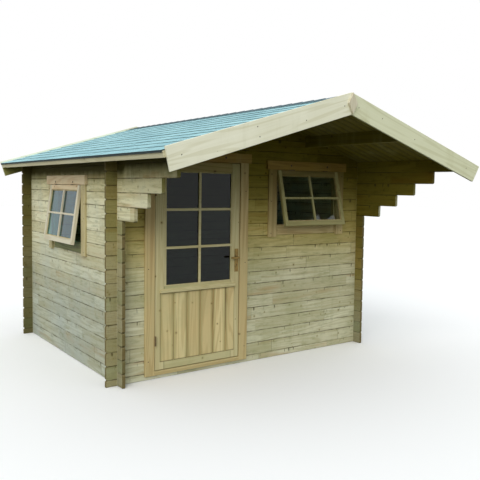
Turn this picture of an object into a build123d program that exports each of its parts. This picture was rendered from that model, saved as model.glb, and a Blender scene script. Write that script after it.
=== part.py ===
"""
Garden log cabin with a deep front canopy.

Millimetres, +Z up. The origin is on the ground in the middle of the wall footprint, and the door side
faces -Y. Each wall has a plane of its own: its x runs to the right as seen from outside, its y is up and
its z points outward from the outer face of the logs.
"""
import os
from math import cos, floor, radians, sin, tan

from build123d import *

# Log walls
cabin_width = 2790
cabin_depth = 2310
log_thickness = 28
course_height = 115
side_courses = 17
log_overrun = 97
log_edge_chamfer = 4
log_end_chamfer = 12
notch_depth_share = 0.25
notch_clearance = 0.3

# Canopy of stepped side logs
corbel_courses = 4
corbel_step = 224
front_overhang = 1262
rear_overhang = 260

# Roof
roof_pitch = 17
deck_thickness = 18
shingle_thickness = 8
shingle_drip = 9
eave_overhang = 248
fascia_thickness = 20
fascia_depth = 46
bargeboard_width = 165
bargeboard_thickness = 20
bargeboard_upstand = 25
bargeboard_mitre_gap = 3
front_left_lower_overrun = -8
front_left_upper_overrun = -20
front_right_lower_overrun = 11
front_right_upper_overrun = 60
apex_plate_width = 96
apex_plate_thickness = 18
apex_plate_inset = 2
ridge_cap_run = 120
ridge_cap_thickness = 5
purlin_width = 45
purlin_depth = 108
purlin_offset = 621
purlin_clearance = 0.4

# Floor
floor_board_thickness = 19
bearer_width = 60
bearer_count = 5
floor_clearance = 0.4

# Frames around the door and windows
casing_thickness = 20
lintel_thickness = 30
lintel_depth = 86
lintel_overrun = 26
inner_casing_thickness = 16
inner_casing_lap = 32
frame_clearance = 0.4

# Door frame
door_centre = -618
door_courses = 16
door_casing_width = 90
door_jamb_thickness = 32
door_stop = 15
door_casing_drop = 25
threshold_thickness = 12

# Door leaf
leaf_width = 870
leaf_thickness = 34
leaf_recess = 6
leaf_gap = 7
leaf_stop_gap = 6
stile_width = 84
top_rail_depth = 86
bottom_rail_depth = 110
middle_rail_face = 55
middle_rail_lap = 47
panel_margin = 46
panel_bottom_margin = 64
panel_top_height = 747
panel_thickness = 16
panel_recess = 3
panel_board_width = 136
panel_groove = 6
panel_clearance = 0.3
weather_bar_depth = 34
weather_bar_projection = 20
weather_bar_slope = 14
glass_thickness = 4
glass_groove = 10
glass_lap = 8
glass_clearance = 0.3

# Door furniture
hinge_height = 335
hinge_length = 84
hinge_radius = 7
hinge_pin_radius = 3.6
hinge_pin_clearance = 0.1
hinge_play = 0.3
hinge_flap_thickness = 2
hinge_flap_width = 34
handle_height = 1016
handle_backset = 31
handle_plate_width = 40
handle_plate_length = 215
handle_plate_rise = 80
handle_plate_thickness = 4
handle_radius = 8
handle_standoff = 36
handle_clearance = 0.3
handle_bore_clearance = 1.5
lever_length = 90
lever_width = 18
lever_thickness = 11
lever_edge_chamfer = 2

# Windows
window_courses = 6
front_window_centre = 651
front_window_course = 10
side_window_course = 9
sash_width = 786
sash_height = 550
sash_thickness = 30
sash_gap = 5
sash_lap = 16
sash_stile_width = 38
sash_rail_depth = 46
sash_glass_depth = 21
sash_hang_gap = 4
window_casing_width = 96
window_casing_drop = 17
window_head_height = 635
window_sill_depth = 100
window_lining_thickness = 50
window_hinge_radius = 4
window_hinge_length = 60
window_hinge_flap = 1.6
window_hinge_inset_share = 0.28
window_hinge_flap_share = 0.8
front_sash_angle = 14
side_sash_angle = 8.3

# Sizes worked out from those above
half_width = cabin_width / 2
half_depth = cabin_depth / 2
half_course = course_height / 2
half_log = log_thickness / 2
notch_depth = course_height * notch_depth_share
notch_width = log_thickness + 2 * notch_clearance
wall_top = side_courses * course_height
pitch = radians(roof_pitch)
underside_ridge = wall_top + (half_width - log_thickness) * tan(pitch)
deck_ridge = underside_ridge + deck_thickness / cos(pitch)
shingle_ridge = deck_ridge + shingle_thickness / cos(pitch)
eave_run = (half_width + eave_overhang) / cos(pitch)
roof_front = -half_depth - front_overhang
roof_back = half_depth + rear_overhang
deck_length = roof_back - roof_front - 2 * bargeboard_thickness
gable_courses = floor((underside_ridge - half_course) / course_height)
ridge_purlin_bottom = half_course + (gable_courses - 1) * course_height
gable_half = half_width - log_thickness - notch_clearance
purlin_bottom = underside_ridge - purlin_offset * tan(pitch) - purlin_depth

leaf_bottom = half_course + threshold_thickness + leaf_gap
door_top = half_course + door_courses * course_height
door_head_bottom = door_top - leaf_gap
leaf_top = door_head_bottom - leaf_gap
leaf_left = door_centre - leaf_width / 2
leaf_right = door_centre + leaf_width / 2
leaf_face = casing_thickness - leaf_recess
leaf_back = leaf_face - leaf_thickness
door_stop_face = leaf_back - leaf_stop_gap
door_inner_face = -log_thickness - inner_casing_thickness
jamb_edge = leaf_width / 2 + leaf_gap
door_half_opening = jamb_edge + door_jamb_thickness
door_bottom_edge = half_course - door_casing_drop
glass_slot = glass_thickness + 2 * glass_clearance
leaf_middle = leaf_face - leaf_thickness / 2
panel_bottom = leaf_bottom + panel_bottom_margin
glass_sill_height = panel_top_height + middle_rail_face
panel_face = leaf_face - panel_recess
panel_back = panel_face - panel_thickness
hinge_axis_x = leaf_left - leaf_gap / 2
hinge_axis_z = casing_thickness + hinge_radius + hinge_play
hinge_heights = (hinge_height, leaf_top + leaf_bottom - hinge_height)
handle_x = leaf_right - handle_backset

window_height = window_courses * course_height
window_casing_edge = sash_width / 2 + sash_gap
window_lining_edge = sash_width / 2 - sash_lap
window_half_opening = window_lining_edge + window_lining_thickness
sash_top = window_head_height - sash_hang_gap
window_lining_head = sash_top - sash_lap

# Planes of the walls and of the roof's rear section
front_wall = Plane((0, -half_depth, 0), x_dir=(1, 0, 0), z_dir=(0, -1, 0))
back_wall = Plane((0, half_depth, 0), x_dir=(-1, 0, 0), z_dir=(0, 1, 0))
left_wall = Plane((-half_width, 0, 0), x_dir=(0, -1, 0), z_dir=(-1, 0, 0))
right_wall = Plane((half_width, 0, 0), x_dir=(0, 1, 0), z_dir=(1, 0, 0))
deck_back = Plane((0, roof_back - bargeboard_thickness, 0), x_dir=(1, 0, 0), z_dir=(0, -1, 0))


def block(plane, left, right, bottom, top, back, face, mode=Mode.ADD):
    """A squared piece standing on a plane, from depth back out to depth face."""
    with BuildSketch(plane.offset(back)) as outline:
        with Locations(((left + right) / 2, (bottom + top) / 2)):
            Rectangle(right - left, top - bottom)
    extrude(outline.sketch, amount=face - back, mode=mode)


def prism(plane, points, length, mode=Mode.ADD):
    """A piece with a drawn section, run along the plane's normal."""
    with BuildSketch(plane) as outline:
        with BuildLine():
            Polyline(*points, close=True)
        make_face()
    extrude(outline.sketch, amount=length, mode=mode)


def log_section(bottom, top, bevelled):
    """Log section: x is the depth from the eased outer face. The top is cut to the roof if asked."""
    edge = log_edge_chamfer
    points = [(0, bottom + edge), (edge, bottom), (log_thickness, bottom), (log_thickness, top)]
    if bevelled:
        points += [(0, top - log_thickness * tan(pitch))]
    else:
        points += [(edge, top), (0, top - edge)]
    return points


def log_outline(start, end, bottom, top, square):
    """Log seen square on: its end corners are cut off, except those named in square."""
    cut = log_end_chamfer
    points = [(start, bottom)]
    if "start bottom" not in square:
        points = [(start, bottom + cut), (start + cut, bottom)]
    if "end bottom" not in square:
        points += [(end - cut, bottom), (end, bottom + cut)]
    else:
        points += [(end, bottom)]
    if "end top" not in square:
        points += [(end, top - cut), (end - cut, top)]
    else:
        points += [(end, top)]
    if "start top" not in square:
        points += [(start + cut, top), (start, top - cut)]
    else:
        points += [(start, top)]
    return points


def cut_log(wall, start, end, bottom, top, square=(), crossing=0, notches=(), holes=(),
            gable=False, bevelled=False):
    """One log: planed to its section, then cut to its outline, notched for the logs it crosses."""
    section = Plane(wall.from_local_coords((start, 0, 0)), x_dir=-wall.z_dir, z_dir=wall.x_dir)
    with BuildPart() as log:
        prism(section, log_section(bottom, top, bevelled), end - start)
        with BuildSketch(wall) as outline:
            with BuildLine():
                Polyline(*log_outline(start, end, bottom, top, square), close=True)
            make_face()
            for level, rise in notches:
                with Locations((-crossing, level + rise / 2), (crossing, level + rise / 2)):
                    Rectangle(notch_width, abs(rise), mode=Mode.SUBTRACT)
            for left, right in holes:
                with Locations(((left + right) / 2, (bottom + top) / 2)):
                    Rectangle(right - left, top - bottom, mode=Mode.SUBTRACT)
            if gable:
                with BuildLine():
                    Polyline(*gable_outline(), close=True)
                make_face(mode=Mode.INTERSECT)
                for left, right, seat in purlin_seats():
                    with Locations(((left + right) / 2, (seat + underside_ridge) / 2)):
                        Rectangle(right - left, underside_ridge - seat, mode=Mode.SUBTRACT)
        extrude(outline.sketch, amount=-log_thickness, mode=Mode.INTERSECT)
    return log.part


def gable_outline():
    """Gable between the side walls and under the roof boards."""
    shoulder = underside_ridge - gable_half * tan(pitch)
    points = [(-gable_half, 0), (gable_half, 0), (gable_half, shoulder)]
    points += [(0, underside_ridge), (-gable_half, shoulder)]
    return points


def purlin_seats():
    """Left edge, right edge and seat height of each purlin's slot in a gable."""
    near = purlin_offset - purlin_clearance
    far = purlin_offset + purlin_width + purlin_clearance
    half_ridge = purlin_width / 2 + purlin_clearance
    seats = [(-far, -near, purlin_bottom), (near, far, purlin_bottom)]
    seats += [(-half_ridge, half_ridge, ridge_purlin_bottom)]
    return seats


def end_wall_logs(wall, openings):
    """Logs of the front or back wall, from the half log on the ground to the gable's peak."""
    crossing = half_width - half_log
    reach = half_width + log_overrun
    ground = ("start bottom", "end bottom")
    top_notch = [(half_course, -notch_depth)]
    logs = [cut_log(wall, -reach, reach, 0, half_course, ground, crossing, top_notch)]
    for course in range(1, gable_courses + 1):
        bottom = half_course + (course - 1) * course_height
        top = bottom + course_height
        holes = [(left, right) for left, right, low, high in openings if low <= bottom < high]
        if course < side_courses:
            notches = [(bottom, notch_depth), (top, -notch_depth)]
            logs.append(cut_log(wall, -reach, reach, bottom, top, (), crossing, notches, holes))
        else:
            top = max(top, underside_ridge) if course == gable_courses else top
            square = ("start bottom", "end bottom", "start top", "end top")
            logs.append(cut_log(wall, -gable_half, gable_half, bottom, top, square, gable=True))
    return logs


def side_wall_logs(wall, front, openings):
    """Logs of a side wall. The front is at positive x on one side and at negative x on the other."""
    crossing = half_depth - half_log
    logs = []
    for course in range(1, side_courses + 1):
        bottom = (course - 1) * course_height
        top = bottom + course_height
        steps = max(0, course - (side_courses - 1 - corbel_courses))
        front_reach = half_depth + log_overrun + steps * corbel_step
        back_reach = half_depth + log_overrun
        front_end = "end" if front > 0 else "start"
        back_end = "start" if front > 0 else "end"
        square = []
        notches = [(bottom, notch_depth), (top, -notch_depth)]
        if course == 1:
            square = ["start bottom", "end bottom"]
        if steps:
            square = [front_end + " top"]
        if course == side_courses:
            front_reach = half_depth + front_overhang - bargeboard_thickness
            back_reach = half_depth + rear_overhang - bargeboard_thickness
            square = ["start bottom", "end bottom", "start top", "end top"]
            notches = [(bottom, notch_depth)]
        start = -back_reach if front > 0 else -front_reach
        end = front_reach if front > 0 else back_reach
        holes = [(left, right) for left, right, low, high in openings if low <= bottom < high]
        bevelled = course == side_courses
        log = cut_log(wall, start, end, bottom, top, square, crossing, notches, holes, bevelled=bevelled)
        logs.append(log)
    return logs


def every_second(logs, first):
    """Every second course of a wall, so that no two logs in one group touch."""
    with BuildPart() as courses:
        add(logs[first::2])
    return courses.part


def slope_point(side, run, rise):
    """Point in the roof's cross-section: run down the slope and rise square to the deck's top."""
    across = run * cos(pitch) + rise * sin(pitch)
    height = deck_ridge - run * sin(pitch) + rise * cos(pitch)
    return (side * across, height)


def roof_deck(side):
    """Boarded deck of one slope, plumb cut at the ridge."""
    run = eave_run - fascia_thickness
    with BuildPart() as deck:
        points = [(0, underside_ridge), (0, deck_ridge)]
        points += [slope_point(side, run, 0), slope_point(side, run, -deck_thickness)]
        prism(deck_back, points, deck_length)
    return deck.part


def roof_shingles(side):
    """Shingle layer of one slope, dripping past the fascia."""
    run = eave_run + shingle_drip
    with BuildPart() as shingles:
        points = [(0, deck_ridge), (0, shingle_ridge)]
        points += [slope_point(side, run, shingle_thickness), slope_point(side, run, 0)]
        prism(deck_back, points, deck_length)
    return shingles.part


def ridge_cap():
    """Folded capping over both slopes."""
    with BuildPart() as cap:
        points = [slope_point(-1, ridge_cap_run, shingle_thickness), (0, shingle_ridge)]
        points += [slope_point(1, ridge_cap_run, shingle_thickness)]
        points += [slope_point(1, ridge_cap_run, shingle_thickness + ridge_cap_thickness)]
        points += [(0, shingle_ridge + ridge_cap_thickness / cos(pitch))]
        points += [slope_point(-1, ridge_cap_run, shingle_thickness + ridge_cap_thickness)]
        prism(deck_back, points, deck_length)
    return cap.part


def eave_fascias():
    """Strips nailed over the ends of the deck boards along both eaves."""
    with BuildPart() as fascias:
        for side in (-1, 1):
            points = [slope_point(side, eave_run - fascia_thickness, 0), slope_point(side, eave_run, 0)]
            points += [slope_point(side, eave_run, -fascia_depth)]
            points += [slope_point(side, eave_run - fascia_thickness, -fascia_depth)]
            prism(deck_back, points, deck_length)
    return fascias.part


def bargeboard(side, face, lower_overrun=0, upper_overrun=0):
    """Board over the deck's end grain, plumb cut at the peak. Its edges can run past the eave."""
    plane = Plane((0, face, 0), x_dir=(1, 0, 0), z_dir=(0, -1, 0))
    half_gap = bargeboard_mitre_gap / 2
    lower = bargeboard_upstand - bargeboard_width
    with BuildPart() as board:
        points = [(side * half_gap, deck_ridge + lower / cos(pitch) - half_gap * tan(pitch))]
        points += [(side * half_gap, deck_ridge + bargeboard_upstand / cos(pitch) - half_gap * tan(pitch))]
        points += [slope_point(side, eave_run + upper_overrun, bargeboard_upstand)]
        points += [slope_point(side, eave_run + lower_overrun, lower)]
        prism(plane, points, bargeboard_thickness)
    return board.part


def apex_plates():
    """Diamond plates over the bargeboards' mitres, one on each gable."""
    top = deck_ridge + bargeboard_upstand / cos(pitch) - apex_plate_inset
    bottom = deck_ridge + (bargeboard_upstand - bargeboard_width) / cos(pitch) + apex_plate_inset
    half = apex_plate_width / 2
    middle = (top + bottom) / 2
    with BuildPart() as plates:
        for face in (roof_front, roof_back + apex_plate_thickness):
            plane = Plane((0, face, 0), x_dir=(1, 0, 0), z_dir=(0, -1, 0))
            prism(plane, [(0, bottom), (half, middle), (0, top), (-half, middle)], apex_plate_thickness)
    return plates.part


def side_purlins():
    """Purlin under each slope, its top bevelled to the deck."""
    outer = purlin_offset + purlin_width
    with BuildPart() as beams:
        for side in (-1, 1):
            points = [(side * purlin_offset, purlin_bottom), (side * outer, purlin_bottom)]
            points += [(side * outer, underside_ridge - outer * tan(pitch))]
            points += [(side * purlin_offset, underside_ridge - purlin_offset * tan(pitch))]
            prism(deck_back, points, deck_length)
    return beams.part


def ridge_purlin():
    """Purlin under the ridge, its top cut to both slopes."""
    half = purlin_width / 2
    with BuildPart() as beam:
        points = [(-half, ridge_purlin_bottom), (half, ridge_purlin_bottom)]
        points += [(half, underside_ridge - half * tan(pitch)), (0, underside_ridge)]
        points += [(-half, underside_ridge - half * tan(pitch))]
        prism(deck_back, points, deck_length)
    return beam.part


def floor_boards():
    """Boarded floor, level with the top of the half log under the door."""
    room_width = half_width - log_thickness - floor_clearance
    room_depth = half_depth - log_thickness - floor_clearance
    with BuildPart() as boards:
        bottom = half_course - floor_board_thickness
        block(Plane.XY, -room_width, room_width, -room_depth, room_depth, bottom, half_course)
    return boards.part


def floor_bearers():
    """Bearers under the floor, running from front to back."""
    room_depth = half_depth - log_thickness - floor_clearance
    reach = half_width - log_thickness - bearer_width / 2 - floor_clearance
    pitch_across = 2 * reach / (bearer_count - 1)
    with BuildPart() as bearers:
        for index in range(bearer_count):
            middle = index * pitch_across - reach
            left = middle - bearer_width / 2
            right = middle + bearer_width / 2
            block(Plane.XY, left, right, -room_depth, room_depth, 0, half_course - floor_board_thickness)
    return bearers.part


def door_jambs():
    """Side posts of the door frame: casing, lining round the log ends, inner casing and stop."""
    top = door_head_bottom
    with BuildPart() as jambs:
        for side in (-1, 1):
            edges = [door_centre + side * jamb_edge, door_centre + side * (jamb_edge + door_casing_width)]
            block(front_wall, min(edges), max(edges), door_bottom_edge, top, 0, casing_thickness)
            edges = [door_centre + side * jamb_edge]
            edges += [door_centre + side * (door_half_opening - frame_clearance)]
            block(front_wall, min(edges), max(edges), half_course, top, -log_thickness, 0)
            edges = [door_centre + side * (jamb_edge - door_stop)]
            edges += [door_centre + side * (door_half_opening + inner_casing_lap)]
            block(front_wall, min(edges), max(edges), half_course, top, door_inner_face, -log_thickness)
            edges = [door_centre + side * (jamb_edge - door_stop), door_centre + side * jamb_edge]
            block(front_wall, min(edges), max(edges), half_course, top, -log_thickness, door_stop_face)
    return jambs.part


def door_head():
    """Head of the door frame with its lintel board outside and inner casing."""
    lintel_half = jamb_edge + door_casing_width + lintel_overrun
    inner_half = door_half_opening + inner_casing_lap
    lining_half = door_half_opening - frame_clearance
    stop_half = jamb_edge - door_stop - frame_clearance
    bottom = door_head_bottom
    left = door_centre - lintel_half
    right = door_centre + lintel_half
    with BuildPart() as head:
        block(front_wall, left, right, bottom, bottom + lintel_depth, 0, lintel_thickness)
        left = door_centre - lining_half
        right = door_centre + lining_half
        block(front_wall, left, right, bottom, door_top, -log_thickness, 0)
        left = door_centre - inner_half
        right = door_centre + inner_half
        block(front_wall, left, right, bottom, door_top + inner_casing_lap, door_inner_face, -log_thickness)
        left = door_centre - stop_half
        right = door_centre + stop_half
        block(front_wall, left, right, bottom - door_stop, bottom, door_inner_face, door_stop_face)
    return head.part


def door_threshold():
    """Threshold lying on the half log, turned down over its face between the casings."""
    half = jamb_edge - frame_clearance
    left = door_centre - half
    right = door_centre + half
    top = half_course + threshold_thickness
    with BuildPart() as threshold:
        block(front_wall, left, right, half_course, top, door_stop_face, 0)
        block(front_wall, left, right, door_bottom_edge, top, 0, casing_thickness)
    return threshold.part


def door_stiles():
    """Upright members of the leaf, grooved for the glass and rebated for the boarded panel."""
    with BuildPart() as stiles:
        for side in (-1, 1):
            outer = door_centre + side * leaf_width / 2
            inner = outer - side * stile_width
            edges = [outer, inner]
            block(front_wall, min(edges), max(edges), leaf_bottom, leaf_top, leaf_back, leaf_face)
            edges = [inner, inner + side * glass_groove]
            low = glass_sill_height - glass_groove
            high = leaf_top - top_rail_depth + glass_groove
            slot_back = leaf_middle - glass_slot / 2
            slot_face = leaf_middle + glass_slot / 2
            block(front_wall, min(edges), max(edges), low, high, slot_back, slot_face, Mode.SUBTRACT)
            edges = [inner, outer - side * panel_margin]
            low = panel_bottom
            high = panel_top_height
            block(front_wall, min(edges), max(edges), low, high, panel_back, leaf_face, Mode.SUBTRACT)
        bore = handle_radius + handle_bore_clearance
        with BuildSketch(front_wall.offset(leaf_back)) as hole:
            with Locations((handle_x, handle_height)):
                Circle(bore)
        extrude(hole.sketch, amount=leaf_thickness, mode=Mode.SUBTRACT)
    return stiles.part


def door_rails():
    """Top, middle and bottom rails between the stiles."""
    left = leaf_left + stile_width
    right = leaf_right - stile_width
    slot_back = leaf_middle - glass_slot / 2
    slot_face = leaf_middle + glass_slot / 2
    glass_top = leaf_top - top_rail_depth
    with BuildPart() as rails:
        block(front_wall, left, right, glass_top, leaf_top, leaf_back, leaf_face)
        low = panel_top_height - middle_rail_lap
        block(front_wall, left, right, low, glass_sill_height, leaf_back, leaf_face)
        high = leaf_bottom + bottom_rail_depth
        block(front_wall, left, right, leaf_bottom, high, leaf_back, leaf_face)
        low = glass_sill_height - glass_groove
        high = glass_top + glass_groove
        block(front_wall, left, right, low, high, slot_back, slot_face, Mode.SUBTRACT)
        block(front_wall, left, right, panel_bottom, panel_top_height, panel_back, leaf_face, Mode.SUBTRACT)
    return rails.part


def door_panel():
    """Boarded lower panel with a vee groove at each board joint."""
    left = leaf_left + panel_margin + panel_clearance
    right = leaf_right - panel_margin - panel_clearance
    bottom = panel_bottom + panel_clearance
    top = panel_top_height - panel_clearance
    with BuildPart() as panel:
        block(front_wall, left, right, bottom, top, panel_back, panel_face)
        foot_origin = front_wall.from_local_coords((0, bottom, 0))
        foot = Plane(foot_origin, x_dir=front_wall.x_dir, z_dir=front_wall.y_dir)
        for joint in range(1, floor((right - left) / panel_board_width) + 1):
            middle = left + joint * panel_board_width
            points = [(middle - panel_groove, -panel_face), (middle + panel_groove, -panel_face)]
            points += [(middle, panel_groove - panel_face)]
            prism(foot, points, top - bottom, Mode.SUBTRACT)
    return panel.part


def door_weather_bar():
    """Sloped drip bar on the middle rail, over the top of the boarded panel."""
    length = leaf_width - 2 * panel_margin
    end = Plane(front_wall.from_local_coords((leaf_left + panel_margin, 0, 0)), x_dir=-front_wall.z_dir,
                z_dir=front_wall.x_dir)
    bottom = panel_top_height
    with BuildPart() as bar:
        points = [(-leaf_face, bottom), (-leaf_face - weather_bar_projection, bottom)]
        points += [(-leaf_face - weather_bar_projection, bottom + weather_bar_depth - weather_bar_slope)]
        points += [(-leaf_face, bottom + weather_bar_depth)]
        prism(end, points, length)
    return bar.part


def door_glass():
    """Pane let into the grooves of the stiles and rails."""
    left = leaf_left + stile_width - glass_lap
    right = leaf_right - stile_width + glass_lap
    low = glass_sill_height - glass_lap
    high = leaf_top - top_rail_depth + glass_lap
    back = leaf_middle - glass_thickness / 2
    with BuildPart() as pane:
        block(front_wall, left, right, low, high, back, back + glass_thickness)
    return pane.part


def hinge_knuckle(low, high, radius, mode=Mode.ADD):
    """Round part of a hinge about its pin, from height low to height high."""
    axis = front_wall.from_local_coords((hinge_axis_x, low, hinge_axis_z))
    with BuildSketch(Plane(axis)) as ring:
        Circle(radius)
    extrude(ring.sketch, amount=high - low, mode=mode)


def door_hinge_posts():
    """Hinge halves on the frame: flap on the jamb, lower knuckle and pin."""
    edge = leaf_left - leaf_gap
    half = hinge_length / 2
    inner = hinge_axis_z - hinge_flap_width
    with BuildPart() as posts:
        for middle in hinge_heights:
            low = middle - half
            high = middle - hinge_play
            block(front_wall, edge, edge + hinge_flap_thickness, low, high, inner, hinge_axis_z)
            hinge_knuckle(low, high, hinge_radius)
            hinge_knuckle(high, middle + half, hinge_pin_radius)
    return posts.part


def door_hinge_knuckles():
    """Hinge halves on the leaf: flap on the stile and upper knuckle bored for the pin."""
    half = hinge_length / 2
    inner = hinge_axis_z - hinge_flap_width
    with BuildPart() as knuckles:
        for middle in hinge_heights:
            high = middle + half
            edge = leaf_left - hinge_flap_thickness
            block(front_wall, edge, leaf_left, middle, high, inner, hinge_axis_z)
            hinge_knuckle(middle, high, hinge_radius)
            hinge_knuckle(middle, high, hinge_pin_radius + hinge_pin_clearance, Mode.SUBTRACT)
    return knuckles.part


def door_handle_plates():
    """Long plates on both faces of the lock stile, bored for the handle."""
    left = handle_x - handle_plate_width / 2
    right = handle_x + handle_plate_width / 2
    high = handle_height + handle_plate_rise
    low = high - handle_plate_length
    with BuildPart() as plates:
        for back in (leaf_face, leaf_back - handle_plate_thickness):
            block(front_wall, left, right, low, high, back, back + handle_plate_thickness)
        with BuildSketch(front_wall.offset(leaf_back - handle_plate_thickness)) as hole:
            with Locations((handle_x, handle_height)):
                Circle(handle_radius + handle_clearance)
        depth = leaf_thickness + 2 * handle_plate_thickness
        extrude(hole.sketch, amount=depth, mode=Mode.SUBTRACT)
    return plates.part


def door_handle():
    """Handle on both sides of the leaf: a round spindle through its bore, with a flat lever at each end."""
    origin = front_wall.from_local_coords((handle_x, handle_height, leaf_middle))
    middle = Plane(origin, x_dir=front_wall.x_dir, z_dir=front_wall.z_dir)
    reach = leaf_thickness / 2 + handle_standoff
    span = lever_length - lever_width
    with BuildPart() as handle:
        with BuildSketch(middle.offset(-reach)) as spindle:
            Circle(handle_radius)
        extrude(spindle.sketch, amount=2 * reach)
        for side in (-1, 1):
            with BuildSketch(middle.offset(side * reach)) as lever:
                with Locations((-span / 2, 0)):
                    SlotCenterToCenter(span, lever_width)
            extrude(lever.sketch, amount=side * lever_thickness)
        outer_faces = handle.faces().sort_by(Axis.Y)
        chamfer(outer_faces[0].edges() + outer_faces[-1].edges(), lever_edge_chamfer)
    return handle.part


def window_jambs(wall, middle, base):
    """Side members of a window frame: casing, lining round the log ends and inner casing."""
    head = base + window_head_height
    top = base + window_height
    inner_face = -log_thickness - inner_casing_thickness
    with BuildPart() as jambs:
        for side in (-1, 1):
            edges = [middle + side * window_casing_edge]
            edges += [middle + side * (window_casing_edge + window_casing_width)]
            block(wall, min(edges), max(edges), base - window_casing_drop, head, 0, casing_thickness)
            edges = [middle + side * window_lining_edge]
            edges += [middle + side * (window_half_opening - frame_clearance)]
            block(wall, min(edges), max(edges), base, top, -log_thickness, 0)
            edges = [middle + side * window_lining_edge]
            edges += [middle + side * (window_half_opening + inner_casing_lap)]
            block(wall, min(edges), max(edges), base - inner_casing_lap, top, inner_face, -log_thickness)
    return jambs.part


def window_head_and_sill(wall, middle, base):
    """Lintel with head lining, and the sill board with its lining, between the jambs."""
    lintel_half = window_casing_edge + window_casing_width + lintel_overrun
    half = window_lining_edge - frame_clearance
    top = base + window_height
    head = base + window_head_height
    lining = base + window_lining_head
    inner_face = -log_thickness - inner_casing_thickness
    with BuildPart() as members:
        left = middle - lintel_half
        right = middle + lintel_half
        block(wall, left, right, head, head + lintel_depth, 0, lintel_thickness)
        block(wall, middle - half, middle + half, lining, top, inner_face, 0)
        block(wall, middle - half, middle + half, base, base + window_sill_depth, inner_face, 0)
    return members.part


def sash_plane(wall, middle, base, angle):
    """Plane of an open sash: origin on its top outer edge, y up the sash, z out of its face."""
    swing = radians(angle)
    hang = wall.from_local_coords((middle, base + sash_top, sash_thickness + frame_clearance))
    outward = wall.z_dir * cos(swing) + wall.y_dir * sin(swing)
    return Plane(hang, x_dir=wall.x_dir, z_dir=outward)


def sash_stiles(plane):
    """Uprights of a sash, grooved for the glass."""
    half = sash_width / 2
    slot_back = -sash_glass_depth - glass_slot / 2
    slot_face = -sash_glass_depth + glass_slot / 2
    with BuildPart() as stiles:
        for side in (-1, 1):
            edges = [side * half, side * (half - sash_stile_width)]
            block(plane, min(edges), max(edges), -sash_height, 0, -sash_thickness, 0)
            edges = [side * (half - sash_stile_width), side * (half - sash_stile_width + glass_groove)]
            low = sash_rail_depth - glass_groove - sash_height
            high = glass_groove - sash_rail_depth
            block(plane, min(edges), max(edges), low, high, slot_back, slot_face, Mode.SUBTRACT)
    return stiles.part


def sash_rails(plane):
    """Top and bottom rails of a sash, grooved for the glass."""
    half = sash_width / 2 - sash_stile_width
    slot_back = -sash_glass_depth - glass_slot / 2
    slot_face = -sash_glass_depth + glass_slot / 2
    with BuildPart() as rails:
        block(plane, -half, half, -sash_rail_depth, 0, -sash_thickness, 0)
        block(plane, -half, half, -sash_height, sash_rail_depth - sash_height, -sash_thickness, 0)
        low = sash_rail_depth - glass_groove - sash_height
        high = glass_groove - sash_rail_depth
        block(plane, -half, half, low, high, slot_back, slot_face, Mode.SUBTRACT)
    return rails.part


def sash_glass(plane):
    """Pane of a sash."""
    half = sash_width / 2 - sash_stile_width + glass_lap
    low = sash_rail_depth - glass_lap - sash_height
    high = glass_lap - sash_rail_depth
    back = -sash_glass_depth - glass_thickness / 2
    with BuildPart() as pane:
        block(plane, -half, half, low, high, back, back + glass_thickness)
    return pane.part


def window_hinges(wall, middle, base, plane):
    """Pair of hinges between the lintel's underside and the top edge of the open sash."""
    head = base + window_head_height
    barrel_depth = lintel_thickness + window_hinge_radius + frame_clearance
    barrel_height = head - window_hinge_flap / 2
    half = window_hinge_length / 2
    reach = window_hinge_flap_share * sash_thickness
    with BuildPart() as hinges:
        for side in (-1, 1):
            across = side * window_hinge_inset_share * sash_width
            left = middle + across - half
            block(wall, left, left + window_hinge_length, head - window_hinge_flap, head,
                  lintel_thickness - reach, barrel_depth)
            block(plane, across - half, across + half, 0, window_hinge_flap, -reach, window_hinge_radius)
            end = wall.from_local_coords((left, barrel_height, barrel_depth))
            with BuildSketch(Plane(end, x_dir=wall.y_dir, z_dir=wall.x_dir)) as barrel:
                Circle(window_hinge_radius)
            extrude(barrel.sketch, amount=window_hinge_length)
    return hinges.part


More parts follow.
